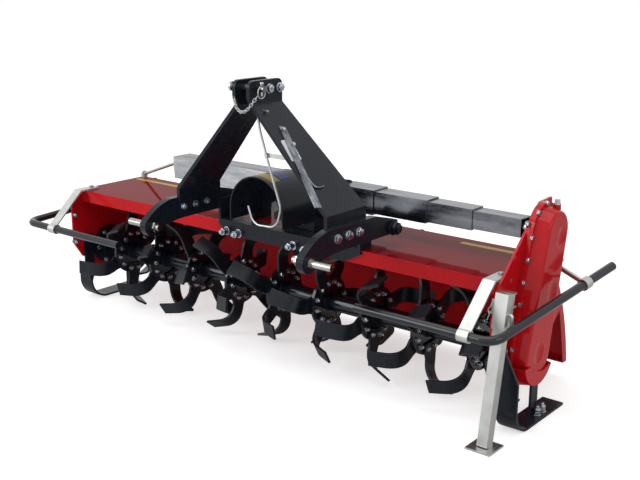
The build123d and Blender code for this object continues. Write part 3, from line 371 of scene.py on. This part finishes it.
def layered_colour(tree, stretched, deep, colour, top, wear_and_highlight, dust):
    """The colour of a finish, with painted shade on its upper faces, scuffed edges with a painted
    highlight, and its dust.
    """
    tint = add_node(tree, "ShaderNodeMix", data_type="RGBA", A=(*deep, 1), B=(*colour, 1))
    tree.links.new(stretched, tint.inputs["Factor"])
    shade = tint.outputs["Result"]
    # Flat upper faces get a darker colour: a painted shade.
    if top:
        shade = lay_over(tree, shade, effect(tree, upper_face_shade, "Mask"), top)
    # Edges get a lighter colour: scuffing with a painted highlight.
    if wear_and_highlight:
        rubbed_and_highlit, width, amount = wear_and_highlight
        shade = lay_over(tree, shade, effect(tree, worn_and_highlit, "Mask", Width=width, Amount=amount), rubbed_and_highlit)
    if dust:
        shade = lay_over(tree, shade, effect(tree, dusting, "Mask", Amount=dust), dust_colour)
    return shade


# %% The whole material
def finish_material(
    name, colour, deep, rough, swing, skin, mottled=None, flaked=None, metal=0.0,
    specular=0.5, coat=0.0, dust=0.0, peel=0.1, top=None, wear_and_highlight=None,
):
    """A Principled material. Its scuffed edges with a painted highlight are a colour, a width in
    metres and an amount, and its painted shade on upper faces is a colour.
    """
    material = bpy.data.materials.new(name)
    material.use_nodes = True
    tree = material.node_tree
    shader = tree.nodes["Principled BSDF"]
    value, stretched = uneven_value(tree, mottled, flaked)
    shade = layered_colour(tree, stretched, deep, colour, top, wear_and_highlight, dust)
    gloss = spread(tree, value, 0.3, 0.7, To_Min=rough - swing, To_Max=rough + swing)
    relief = effect(tree, orange_peel, "Normal", Scale=skin, Strength=peel)
    tree.links.new(shade, shader.inputs["Base Color"])
    tree.links.new(gloss, shader.inputs["Roughness"])
    tree.links.new(relief, shader.inputs["Normal"])
    shader.inputs["Metallic"].default_value = metal
    shader.inputs["Specular IOR Level"].default_value = specular
    shader.inputs["Coat Weight"].default_value = coat
    shader.inputs["Coat Roughness"].default_value = 0.05
    print("finish", name)
    return material


# %% [markdown]
# ## Paints
#
# The deck, the side plates and the chain case are gloss red, the hitch is black, and the
# tines come in a thin flat black that is scratched before the machine is ever used. A clear
# coat on top of a nearly dull red gives sharp highlights without greying the colour. The bars
# and the rotor tube are round, catch long highlights and have a glossier black.

# %% Reds
# The lighter red laid on the edges is partly scuffing and partly a painted highlight.
red, deep_red, red_rubbed_and_highlit = (0.54, 0.006, 0.011), (0.43, 0.004, 0.008), (0.62, 0.05, 0.05)
red_paint = finish_material(
    "red_gloss_paint", colour=red, deep=deep_red, rough=0.16, swing=0.04, skin=260,
    mottled=(3, 40), specular=0.03, coat=0.45, peel=0.04, wear_and_highlight=(red_rubbed_and_highlit, 0.002, 0.5),
)
# The deck's red gets a darker red on its flat upper faces: a painted shade.
deck_red = finish_material(
    "red_deck_paint", colour=red, deep=deep_red, rough=0.20, swing=0.04, skin=260,
    mottled=(3, 40), specular=0.0, coat=0.30, peel=0.03, top=(0.20, 0.004, 0.007),
    wear_and_highlight=(red_rubbed_and_highlit, 0.002, 0.5),
)

# %% Blacks
# The lighter colours laid on the edges of the blacks are partly scuffing and partly a painted
# highlight.
black_rubbed_and_highlit = (0.06, 0.07, 0.085)
black_paint = finish_material(
    "black_powder_coat", colour=(0.009, 0.013, 0.021), deep=(0.005, 0.007, 0.012), rough=0.27,
    swing=0.06, skin=400, mottled=(4, 60), specular=0.22, dust=0.02, peel=0.06,
    wear_and_highlight=(black_rubbed_and_highlit, 0.002, 0.8),
)
gloss_black = finish_material(
    "gloss_black_tube_paint", colour=(0.008, 0.011, 0.018), deep=(0.005, 0.007, 0.011),
    rough=0.16, swing=0.04, skin=500, mottled=(4, 60), specular=0.40, coat=0.15, peel=0.05,
    wear_and_highlight=(black_rubbed_and_highlit, 0.002, 0.6),
)
tine_paint = finish_material(
    "tine_black_paint", colour=(0.013, 0.018, 0.026), deep=(0.006, 0.008, 0.012), rough=0.31,
    swing=0.08, skin=500, mottled=(6, 90), specular=0.25, dust=0.03, peel=0.2,
    wear_and_highlight=((0.08, 0.09, 0.11), 0.0025, 0.9),
)

# %% [markdown]
# ## Zinc and bare steel
#
# The shaft covers are bent from galvanised sheet, the leg and the straps are zinc plated, the hitch
# pins are turned bright, and the power shaft is oiled. Metal shows mostly what it mirrors, so the
# tones differ less than the roughness and the pattern do. The bolts are blue passivated, and a fine
# mottle from dark to bright paints glints on their small faces, so that they sparkle.

# %% Galvanised sheet
# The darker top colour of the sheet is a painted shade on its upper faces, and the lighter edge
# colour is scuffing with a painted highlight.
galvanised = finish_material(
    "galvanised_sheet", colour=(0.31, 0.33, 0.37), deep=(0.075, 0.08, 0.09), rough=0.24,
    swing=0.08, skin=240, flaked=(90, 0.88), metal=0.95, peel=0.05, top=(0.16, 0.17, 0.19),
    wear_and_highlight=((0.45, 0.47, 0.50), 0.0015, 0.7),
)
# The left cover's copy of the sheet is painted lighter, a painted reflection, with a painted shade
# on its upper faces and a painted highlight along its scuffed edges.
cover_painted_lighter = finish_material(
    "galvanised_sheet_painted_lighter", colour=(0.62, 0.65, 0.68), deep=(0.26, 0.28, 0.30), rough=0.24,
    swing=0.08, skin=240, flaked=(90, 0.88), metal=0.95, peel=0.05, top=(0.09, 0.095, 0.105),
    wear_and_highlight=((0.66, 0.68, 0.70), 0.0015, 0.7),
)

# %% Plated and bright steel
# The lighter edge colour of the plating is partly scuffing and partly a painted highlight.
zinc_plate = finish_material(
    "zinc_plated_steel", colour=(0.62, 0.63, 0.61), deep=(0.42, 0.43, 0.41), rough=0.38,
    swing=0.08, skin=400, mottled=(5, 30), metal=0.95, peel=0.10,
    wear_and_highlight=((0.85, 0.85, 0.83), 0.001, 0.5),
)
# The fine mottle from dark to bright paints glints on the bolts' small faces, over their real blue
# zinc.
zinc_painted_glints = finish_material(
    "blue_zinc_painted_glints", colour=(0.72, 0.77, 0.84), deep=(0.16, 0.18, 0.21), rough=0.20,
    swing=0.08, skin=500, mottled=(70, 260), metal=0.95, peel=0.15,
)
bright_steel = finish_material(
    "turned_bright_steel", colour=(0.52, 0.51, 0.49), deep=(0.24, 0.23, 0.22), rough=0.20,
    swing=0.08, skin=500, mottled=(12, 90), metal=1.0, peel=0.05,
)
oiled_steel = finish_material(
    "oiled_shaft_steel", colour=(0.16, 0.16, 0.17), deep=(0.05, 0.05, 0.055), rough=0.30,
    swing=0.08, skin=500, mottled=(12, 90), metal=1.0, peel=0.05,
)

# %% [markdown]
# ## Which piece wears what
#
# The CAD record gives every node one of six material slots. A slot has one finish, and a few
# nodes that look different in the photograph have one of their own: only the material on the
# node changes, its mesh stays.

# %% Give every node its finish
finishes = {
    "red_paint": red_paint, "black_paint": black_paint, "tine_steel": tine_paint,
    "galvanised": galvanised, "zinc_plate": zinc_plate, "bright_steel": bright_steel,
}
# The left shaft cover wears the lighter copy of the galvanised sheet, a painted reflection.
own_finish = {
    "hood_deck": deck_red, "pto_shaft": oiled_steel, "hook_clip": zinc_plate,
    "shaft_cover_left": cover_painted_lighter, "guard_bar_left": gloss_black,
    "guard_bar_right": gloss_black, "rotor_tube": gloss_black,
}
slot_of = {part["node"]: part["material_slot"] for part in frame["record"]["subparts"]}
for name, node in nodes.items():
    node.data.materials.clear()
    node.data.materials.append(own_finish.get(name, finishes[slot_of[name]]))
print("finishes given to", len(nodes), "nodes")

# %% [markdown]
# ## Bolts and nuts
#
# The CAD model leaves its fasteners to this lesson. A real bolt head is a hexagon with
# chamfered corners on a round washer, and a nut shows the end of its thread. Each kind is made
# once, from cylinders with a Bevel modifier, because at this size threads would not show. It
# is then copied to every place where the machine has one. A copy's place is in its mesh, so
# that the object itself stays at the origin.


# %% Turned pieces, joined to one mesh
def turned_piece(sides, radius, low, high, edge):
    """A cylinder or hexagon between two heights with bevelled rims."""
    bpy.ops.mesh.primitive_cylinder_add(
        vertices=sides, radius=radius, depth=high - low, location=(0, 0, (low + high) / 2)
    )
    piece = bpy.context.object
    bevel = piece.modifiers.new("rim", "BEVEL")
    bevel.width = edge
    bevel.segments = 2
    bevel.limit_method = "ANGLE"
    bevel.angle_limit = math.radians(65)
    bpy.ops.object.modifier_apply(modifier=bevel.name)
    return piece


def one_mesh(pieces):
    """Join pieces into one mesh and take their objects away."""
    bpy.ops.object.select_all(action="DESELECT")
    for piece in pieces:
        piece.select_set(True)
    bpy.context.view_layer.objects.active = pieces[0]
    bpy.ops.object.join()
    bpy.ops.object.transform_apply(location=True, rotation=True, scale=True)
    joined = bpy.context.object
    mesh = joined.data
    bpy.data.objects.remove(joined)
    return mesh


# %% One fastener of each kind
def fastener(size, kind):
    """A bolt head, a nut with its thread end, or a locked pair of nuts, for a thread size."""
    hexagon, thread = size * 0.92, size * 0.5
    washer_top, chamfer = size * 0.17, size * 0.09
    pieces = [turned_piece(20, size * 1.08, 0, washer_top, size * 0.03)]
    if kind == "head":
        pieces.append(turned_piece(6, hexagon, washer_top, size * 0.82, chamfer))
    elif kind == "nut":
        pieces.append(turned_piece(6, hexagon, washer_top, size * 0.97, chamfer))
        pieces.append(turned_piece(14, thread, size * 0.9, size * 1.4, size * 0.07))
    else:
        pieces.append(turned_piece(6, hexagon, washer_top, size * 0.95, chamfer))
        pieces.append(turned_piece(6, hexagon, size * 0.99, size * 1.75, chamfer))
        pieces.append(turned_piece(14, thread, size * 1.7, size * 2.4, size * 0.07))
    return one_mesh(pieces)


# %% Copies of a mesh in one object
def copies(name, mesh, matrices, material):
    """One smooth object made of a mesh copied to each of the matrices."""
    gathered = bmesh.new()
    for matrix in matrices:
        copy = mesh.copy()
        copy.transform(matrix)
        gathered.from_mesh(copy)
        bpy.data.meshes.remove(copy)
    whole = bpy.data.meshes.new(name)
    gathered.to_mesh(whole)
    gathered.free()
    whole.shade_smooth()
    whole.materials.append(material)
    piece = bpy.data.objects.new(name, whole)
    bpy.context.scene.collection.objects.link(piece)
    print(f"{name}: {len(matrices)} copies")
    return piece


# %% Fasteners set in place
fastener_turn = 0.7
chamfer_angle = math.radians(32)


def fasten(name, mesh, places, body, material=zinc_painted_glints):
    """Copies of a fastener, each at a point and facing along an axis, as if turned by hand."""
    matrices = []
    for count, (point, axis) in enumerate(places):
        facing = Vector((0, 0, 1)).rotation_difference(Vector(axis)).to_matrix().to_4x4()
        turned_on = Matrix.Rotation(count * fastener_turn, 4, "Z")
        matrices.append(Matrix.Translation(Vector(point)) @ facing @ turned_on)
    piece = copies(name, mesh, matrices, material)
    piece.data.set_sharp_from_angle(angle=chamfer_angle)
    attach(piece, body)
    return piece


# %% A point on a ring of bolts
def on_circle(centre, radius, degrees):
    """A point on a circle, by its turn from straight up."""
    turn = math.radians(degrees)
    return centre[0] + radius * math.sin(turn), centre[1] + radius * math.cos(turn)


# %% [markdown]
# ### Tine bolts and weld beads
#
# Nine flanges are welded to the rotor's tube, each turned a step further than the last, and
# each tine hangs on two bolts. The bolts' places follow from the same pitch and step as the
# flanges, so that they sit on the tines. A weld bead is a ring with a ripple where the
# welder's torch moved on: a torus whose points are moved in and out by a sine.

# %% Tine bolts: heads on the tine, nuts behind the flange
rotor = (0.038, 0.215)
flange_count, flange_gap, tines_on_flange = 9, 0.199, 6
first_flange = 0.016 - 4 * flange_gap
first_turn, flange_step = 55.5, 18.5
bolt_circle = 0.070
bolt_apart = 15
tine_face, flange_face = 0.013, 0.005
tine_heads, tine_nuts = [], []
for flange in range(flange_count):
    x = first_flange + flange * flange_gap
    for tine in range(tines_on_flange):
        side = 1 if tine % 2 == 0 else -1
        for bolt in (-bolt_apart, bolt_apart):
            turn = first_turn + flange * flange_step + tine * 60 + bolt
            y, z = on_circle(rotor, bolt_circle, -turn)
            tine_heads.append(((x + side * tine_face, y, z), (side, 0, 0)))
            tine_nuts.append(((x - side * flange_face, y, z), (-side, 0, 0)))
fasten("tine_bolt_heads", fastener(0.0088, "head"), tine_heads, "rotor")
fasten("tine_bolt_nuts", fastener(0.0088, "nut"), tine_nuts, "rotor")

# %% Weld beads: one on each face of every flange
bpy.ops.mesh.primitive_torus_add(
    major_radius=0.0295, minor_radius=0.0034, major_segments=72, minor_segments=8
)
ripple = bpy.context.object
ripples = 24
bead_out = 0.006
for vert in ripple.data.vertices:
    turn = math.atan2(vert.co.y, vert.co.x)
    vert.co.z *= 1 + 0.16 * math.sin(ripples * turn)
    vert.co.xy *= 1 + 0.012 * math.sin(ripples * turn + 0.8)
beads = []
for flange in range(flange_count):
    for side in (-1, 1):
        beads.append(((first_flange + flange * flange_gap + side * bead_out, *rotor), (side, 0, 0)))
fasten("flange_weld_beads", one_mesh([ripple]), beads, "rotor", black_paint)

# %% [markdown]
# ### Hitch fasteners
#
# The mast's inclined plates stand on the lower arms with three large bolts a side, two more
# cross the ears at the top, and four double nuts hold the hitch frame to the deck's lip. The
# cross rod at the rear ends in thin black nuts.

# %% Hitch bolts and nuts
hitch_x = 0.138
arm_out, arm_in = 0.3415, 0.3165
mast_sheet, ear_out = 0.012, 0.035
foot_z, ear_z = 0.540, 0.951
beam_face, beam_z = -0.095, 0.430
hitch_heads, hitch_nuts = [], []
for side in (-1, 1):
    outer = hitch_x + side * arm_out
    inner = hitch_x + side * (arm_in - mast_sheet)
    for y in (-0.258, -0.204, -0.152):
        hitch_heads.append(((outer, y, foot_z), (side, 0, 0)))
        hitch_nuts.append(((inner, y, foot_z), (-side, 0, 0)))
    for y in (-0.208, -0.160):
        hitch_heads.append(((hitch_x + side * ear_out, y, ear_z), (side, 0, 0)))
beam_nuts = [((x, beam_face, beam_z), (0, -1, 0)) for x in (-0.128, -0.072, 0.170, 0.232)]
fasten("hitch_bolt_heads", fastener(0.014, "head"), hitch_heads, "frame")
fasten("hitch_nuts", fastener(0.0105, "nut"), hitch_nuts, "frame")
fasten("beam_locked_nuts", fastener(0.014, "double"), beam_nuts, "frame")

# %% Cross rod nuts
rod_nut = turned_piece(sides=6, radius=0.022, low=0, high=0.018, edge=0.002)
rod_washer = turned_piece(sides=24, radius=0.024, low=-0.001, high=0.003, edge=0.0006)
rod_y, rod_z = 0.028, 0.517
rod_ends = []
for side in (-1, 1):
    rod_ends.append(((hitch_x + side * (arm_out + 0.001), rod_y, rod_z), (side, 0, 0)))
rod_mesh = one_mesh([rod_nut, rod_washer])
fasten("cross_rod_nuts", rod_mesh, rod_ends, "frame", black_paint)

# %% [markdown]
# ### Side plates, chain case, bearings and skids
#
# All smaller bolts of the frame share two sizes, one for heads and one for nuts. Their places
# are gathered from one part of the machine after the other and are copied at the end. A place
# is a point on the steel and the way the bolt faces there, so each washer lies flat.

# %% Left side plate: three bolts right through it
plate_out, plate_in = 0.9365, 0.9285
frame_heads, frame_nuts = [], []
for y, z in ((-0.121, 0.364), (-0.124, 0.256), (0.185, 0.330)):
    frame_nuts.append(((-plate_in, y, z), (1, 0, 0)))
    frame_heads.append(((-plate_out, y, z), (-1, 0, 0)))
print(len(frame_heads), "bolts in the left side plate")

# %% Chain case: bolts along both straight sides and round the top
rim_face = 0.9525
low, high = Vector(rotor), Vector((0.121, 0.572))
low_rim, high_rim = 0.087, 0.0772
along = (high - low).normalized()
lean = (low_rim - high_rim) / (high - low).length
for side in (-1, 1):
    out = Vector((along.y, -along.x)) * -side * math.sqrt(1 - lean**2) + along * lean
    foot, head = low + out * low_rim, high + out * high_rim
    for step in range(6):
        spot = foot.lerp(head, (step + 0.15) / 5.6)
        frame_heads.append(((rim_face, *spot), (1, 0, 0)))
for turn in (-40, 0, 40):
    frame_heads.append(((rim_face, *on_circle(high, high_rim, turn)), (1, 0, 0)))
frame_heads.append(((plate_out, 0.040, 0.600), (1, 0, 0)))
frame_heads.append(((plate_out, 0.150, 0.644), (1, 0, 0)))
print(len(frame_heads), "heads with those of the chain case")

# %% Straps on the deck, rotor bearings and the feet of the struts
strap_x, strap_top = 0.9085, 0.466
strut_x, strut_foot = 0.9525, (0.228, 0.436)
bearing_face, cap_face = 0.9115, 0.9435
bearing_circle = 0.064
sixths = range(30, 390, 60)
for side in (-1, 1):
    frame_heads.append(((side * strap_x, -0.048, strap_top), (0, 0, 1)))
    for turn in sixths:
        y, z = on_circle(rotor, bearing_circle, turn)
        frame_heads.append(((side * bearing_face, y, z), (-side, 0, 0)))
    frame_heads.append(((side * strut_x, *strut_foot), (side, 0, 0)))
for turn in sixths:
    frame_heads.append(((-cap_face, *on_circle(rotor, bearing_circle, turn)), (-1, 0, 0)))
print(len(frame_heads), "heads with straps, bearings and struts")

# %% Lugs of the skids, leg bracket, strut and cover brace
right_lug, left_lug = 0.9445, -0.9205
strut_top, brace_foot = (0.9560, 0.234, 0.452), (-0.9165, 0.234, 0.480)
for y, z in ((-0.078, 0.252), (-0.078, 0.222), (-0.066, 0.400)):
    frame_nuts.append(((right_lug, y, z), (1, 0, 0)))
frame_nuts.append((strut_top, (0, 0, 1)))
frame_heads.append((brace_foot, (0, 0, 1)))
for y in (-0.052, -0.018):
    frame_nuts.append(((left_lug, y, 0.255), (1, 0, 0)))
fasten("frame_bolt_heads", fastener(0.0088, "head"), frame_heads, "frame")
fasten("frame_nuts", fastener(0.0095, "nut"), frame_nuts, "frame")

# %% Double nuts on the right skid's sole
sole_x, sole_top = 0.985, 0.008
skid_places = [((sole_x, y, sole_top), (0, 0, 1)) for y in (0.082, 0.112)]
fasten("skid_bolts", fastener(0.012, "double"), skid_places, "frame")

# %% [markdown]
# ### Gearbox screws
#
# Six screws hold the gearbox's front cover round the power shaft, four hold its lid, and a
# breather on the lid lets warm oil expand. The breather is a hexagon under a round cap.

# %% Gearbox screws and breather
shaft_z, cover_y, lid_z = 0.565, -0.077, 0.652
cover_circle = 0.056
screws = []
for turn in range(0, 360, 60):
    x, z = on_circle((hitch_x, shaft_z), cover_circle, turn)
    screws.append(((x, cover_y, z), (0, -1, 0)))
for x, y in ((-0.045, -0.052), (0.045, -0.052), (-0.045, 0.030), (0.045, 0.030)):
    screws.append(((hitch_x + x, y, lid_z), (0, 0, 1)))
fasten("gearbox_screws", fastener(0.008, "head"), screws, "frame")
breather_base = turned_piece(sides=6, radius=0.013, low=0, high=0.010, edge=0.001)
breather_cap = turned_piece(sides=18, radius=0.010, low=0.010, high=0.022, edge=0.003)
breather = one_mesh([breather_base, breather_cap])
fasten("gearbox_breather", breather, [((hitch_x, -0.010, lid_z), (0, 0, 1))], "frame")

# %% [markdown]
# ## Pins, clips and the chain
#
# A linch pin on a short chain locks the top link pin, with a sprung ring that folds over it.
# Bent wire like this could be swept along a path of edges. A curve with a round bevel does it
# with a few points, and is then turned into a mesh.


# %% Bent wire from points
def wire(name, points, radius, finish, body, smooth=True):
    """A bent round wire through points, made from a curve and kept as a mesh."""
    data = bpy.data.curves.new(name, "CURVE")
    data.dimensions = "3D"
    data.bevel_depth = radius
    data.bevel_resolution = 3
    data.use_fill_caps = True
    line = data.splines.new("NURBS" if smooth else "POLY")
    line.points.add(len(points) - 1)
    for target, point in zip(line.points, points):
        target.co = (*point, 1)
    if smooth:
        line.order_u = 3
        line.use_endpoint_u = True
        line.resolution_u = 6
    made = bpy.data.objects.new(name, data)
    bpy.context.scene.collection.objects.link(made)
    bpy.ops.object.select_all(action="DESELECT")
    made.select_set(True)
    bpy.context.view_layer.objects.active = made
    bpy.ops.object.convert(target="MESH")
    made = bpy.context.object
    made.data.shade_smooth()
    made.data.materials.clear()
    made.data.materials.append(finishes[finish])
    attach(made, body)
    print(f"{name}: {2000 * radius:.1f} mm wire through {len(points)} points")
    return made


# %% Linch pin and its ring
pin_x, pin_y = 0.190, -0.260
ring_points = []
for step in range(10):
    turn = math.radians(18 + 36 * step)
    x = pin_x - 0.002 * ((step + 1) % 2)
    ring_points.append((x, pin_y + 0.017 * math.sin(turn), 0.944 + 0.019 * math.cos(turn)))
wire("linch_pin_ring", ring_points, 0.0016, "zinc_plate", "frame")
linch = turned_piece(sides=14, radius=0.0042, low=-0.022, high=0.016, edge=0.001)
linch_head = turned_piece(sides=14, radius=0.0062, low=0.010, high=0.020, edge=0.0015)
linch_mesh = one_mesh([linch, linch_head])
fasten("linch_pin", linch_mesh, [((pin_x, pin_y, 0.955), (0, 0, 1))], "frame")

# %% [markdown]
# ### The chain
#
# The chain sags between the mast and the linch pin. It could be simulated, but it is short
# and hangs still, so its line is given by eight points. One link is a stretched torus, and
# every other copy is turned a quarter about the line, as real links lie in one another.

# %% Chain of seventeen links
bpy.ops.mesh.primitive_torus_add(
    major_radius=0.0044, minor_radius=0.0008, major_segments=14, minor_segments=6
)
link = bpy.context.object
link.scale = (1.55, 1.0, 1.0)
bpy.ops.object.transform_apply(location=True, rotation=True, scale=True)
sag_points = (
    (0.115, -0.303, 0.925), (0.121, -0.304, 0.906), (0.132, -0.305, 0.893),
    (0.146, -0.306, 0.887), (0.160, -0.305, 0.889), (0.173, -0.302, 0.898),
    (0.183, -0.295, 0.914), (0.188, -0.283, 0.930),
)
sag = [Vector(point) for point in sag_points]
link_count = 17
link_places = []
for count in range(link_count):
    share = count / (link_count - 1) * (len(sag) - 1)
    first = min(int(share), len(sag) - 2)
    here = sag[first].lerp(sag[first + 1], share - first)
    run = (sag[first + 1] - sag[first]).normalized()
    facing = Vector((1, 0, 0)).rotation_difference(run).to_matrix().to_4x4()
    twist = Matrix.Rotation(math.radians(90 * (count % 2)), 4, "X")
    link_places.append(Matrix.Translation(here) @ facing @ twist)
chain = copies("pin_chain", one_mesh([link]), link_places, zinc_plate)
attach(chain, "frame")

# %% [markdown]
# ### Leg clip, rod and strip bolts
#
# The parking leg's pin is held by a spring clip of thin wire, with the end of a cross pin
# beside it. A bent rod and a strip with two bolts lie on the right mast plate. The plate
# leans, so one helper turns a height into a point on its outer face.

# %% Spring clip on the leg sleeve
wire(
    "leg_spring_clip",
    [
        (0.9385, -0.145, 0.416), (0.9370, -0.148, 0.404), (0.9300, -0.150, 0.396),
        (0.9290, -0.150, 0.388), (0.9350, -0.150, 0.380), (0.9300, -0.150, 0.372),
        (0.9285, -0.150, 0.362),
    ],
    0.0018, "zinc_plate", "frame",
)
wire(
    "leg_clip_pin",
    [(0.9445, -0.138, 0.383), (0.9360, -0.140, 0.383), (0.9270, -0.141, 0.383)],
    0.0045, "zinc_plate", "frame", smooth=False,
)

# %% Rod and strip bolts on the right mast plate
ear_x, ear_bottom, mast_slope = 0.173, 0.907, 0.932
mast_facing = (0.7315, 0, 0.6818)


def on_mast(z, y, proud):
    """A point on the right mast plate's outer face, moved out along X by a little."""
    return (ear_x + (ear_bottom - z) * mast_slope + proud, y, z)


rod_bends = (
    (0.778, -0.247, 0.004), (0.738, -0.249, 0.004), (0.706, -0.254, 0.004),
    (0.684, -0.252, 0.005), (0.676, -0.236, 0.005), (0.678, -0.212, 0.005),
)
wire("mast_rod", [on_mast(*bend) for bend in rod_bends], 0.0026, "galvanised", "frame")
strip_places = [
    (on_mast(0.7937, -0.2264, 0.0055), mast_facing),
    (on_mast(0.8345, -0.2276, 0.0055), mast_facing),
]
fasten("strip_bolts", fastener(0.007, "head"), strip_places, "frame")

# %% [markdown]
# ## Coloured films
#
# Yellow films lie at both ends of the deck and on the shaft guard, a blue one lies behind the
# guard's yellow one, and a pale one is on the mast plate. An image on the paint could show
# them, but a real film has an edge that catches light. A plane with its corners rounded by a
# vertex bevel, given a thickness of 0.4 mm, has that edge.


# %% Film material
def film_material(name, colour):
    """Plastic film: an even colour with a soft sheen."""
    material = bpy.data.materials.new(name)
    material.use_nodes = True
    tree = material.node_tree
    shader = tree.nodes["Principled BSDF"]
    deep = [value * 0.72 for value in colour]
    tint = add_node(tree, "ShaderNodeMix", data_type="RGBA", A=(*deep, 1), B=(*colour, 1))
    tree.links.new(effect(tree, mottle, "Value", Coarse=25, Fine=140), tint.inputs["Factor"])
    tree.links.new(tint.outputs["Result"], shader.inputs["Base Color"])
    shader.inputs["Roughness"].default_value = 0.4
    shader.inputs["Specular IOR Level"].default_value = 0.3
    print("film material", name)
    return material


yellow_film = film_material("yellow_film", (0.50, 0.33, 0.015))
white_film = film_material("white_film", (0.72, 0.73, 0.74))
blue_film = film_material("blue_film", (0.025, 0.045, 0.22))


# %% Flat film with rounded corners
film_sheet = 0.0004


def thicken(piece, material, body):
    """Give a film its thickness outwards and its material, and let it ride on a body."""
    thick = piece.modifiers.new("film", "SOLIDIFY")
    thick.thickness = film_sheet
    thick.offset = 1
    bpy.ops.object.modifier_apply(modifier=thick.name)
    piece.data.materials.append(material)
    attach(piece, body)
    print(piece.name, "with", len(piece.data.vertices), "points")


def flat_film(name, corners, material, body):
    """A thin film with rounded corners on a flat face, given by its four corners."""
    low_left, low_right, high_right, high_left = [Vector(corner) for corner in corners]
    across, upward = low_right - low_left, high_left - low_left
    bpy.ops.mesh.primitive_plane_add(size=1, calc_uvs=False)
    piece = bpy.context.object
    piece.name = piece.data.name = name
    piece.scale = (across.length, upward.length, 1)
    bpy.ops.object.transform_apply(location=False, rotation=False, scale=True)
    bpy.ops.object.mode_set(mode="EDIT")
    bpy.ops.mesh.select_all(action="SELECT")
    rounding = min(across.length, upward.length) / 8
    bpy.ops.mesh.bevel(offset=rounding, segments=3, affect="VERTICES")
    bpy.ops.object.mode_set(mode="OBJECT")
    facing = across.cross(upward).normalized()
    turn = Matrix((across.normalized(), upward.normalized(), facing)).transposed().to_4x4()
    centre = (low_left + low_right + high_right + high_left) / 4
    piece.data.transform(Matrix.Translation(centre) @ turn)
    thicken(piece, material, body)


# %% Films on the deck and on the mast plate
deck_top = 0.4601
for name, left, right in (("deck_strip_left", -0.916, -0.655), ("deck_strip_right", 0.630, 0.828)):
    front, rear = 0.182, 0.206
    corners = [(left, front), (right, front), (right, rear), (left, rear)]
    flat_film(name, [(x, y, deck_top) for x, y in corners], yellow_film, "frame")
mast_corners = [(0.752, -0.271), (0.752, -0.226), (0.808, -0.219), (0.808, -0.264)]
flat_film(
    "mast_plate_label", [on_mast(z, y, 0.0008) for z, y in mast_corners], white_film, "frame"
)

# %% [markdown]
# ### Films bent over the shaft guard
#
# The guard is a round hood over the power shaft, and two films follow its crown. A grid one
# face wide is made flat and each of its points is then laid on the hood's curve. The curve's
# size is measured on the CAD piece, so that the films fit it.

# %% Measure the guard's crown
guard_node = nodes["pto_guard"]
guard_points = [guard_node.matrix_world @ vert.co for vert in guard_node.data.vertices]
guard_left = min(point.x for point in guard_points)
guard_right = max(point.x for point in guard_points)
crown_z = max(point.z for point in guard_points)
crown_x, crown_radius = (guard_left + guard_right) / 2, (guard_right - guard_left) / 2
guard_front = min(point.y for point in guard_points)
print(f"crown radius {crown_radius:.4f} m, top at {crown_z:.4f} m")


# %% Bent films
def bent_film(name, turns, reach_back, material):
    """A film over the guard's crown, between two turns in degrees and two depths."""
    bpy.ops.mesh.primitive_grid_add(x_subdivisions=10, y_subdivisions=1, size=1, calc_uvs=False)
    piece = bpy.context.object
    piece.name = piece.data.name = name
    radius = crown_radius + film_sheet
    for vert in piece.data.vertices:
        turn = math.radians(turns[0] + (turns[1] - turns[0]) * (vert.co.x + 0.5))
        depth = reach_back[0] if vert.co.y < 0 else reach_back[1]
        x = crown_x + radius * math.sin(turn)
        vert.co = (x, guard_front + depth, crown_z - crown_radius + radius * math.cos(turn))
    thicken(piece, material, "frame")
    piece.data.shade_smooth()
    piece.data.set_sharp_from_angle(angle=math.radians(40))


bent_film("guard_film_yellow", (-12, 30), (0.014, 0.054), yellow_film)
bent_film("guard_film_blue", (-6, 28), (0.060, 0.104), blue_film)
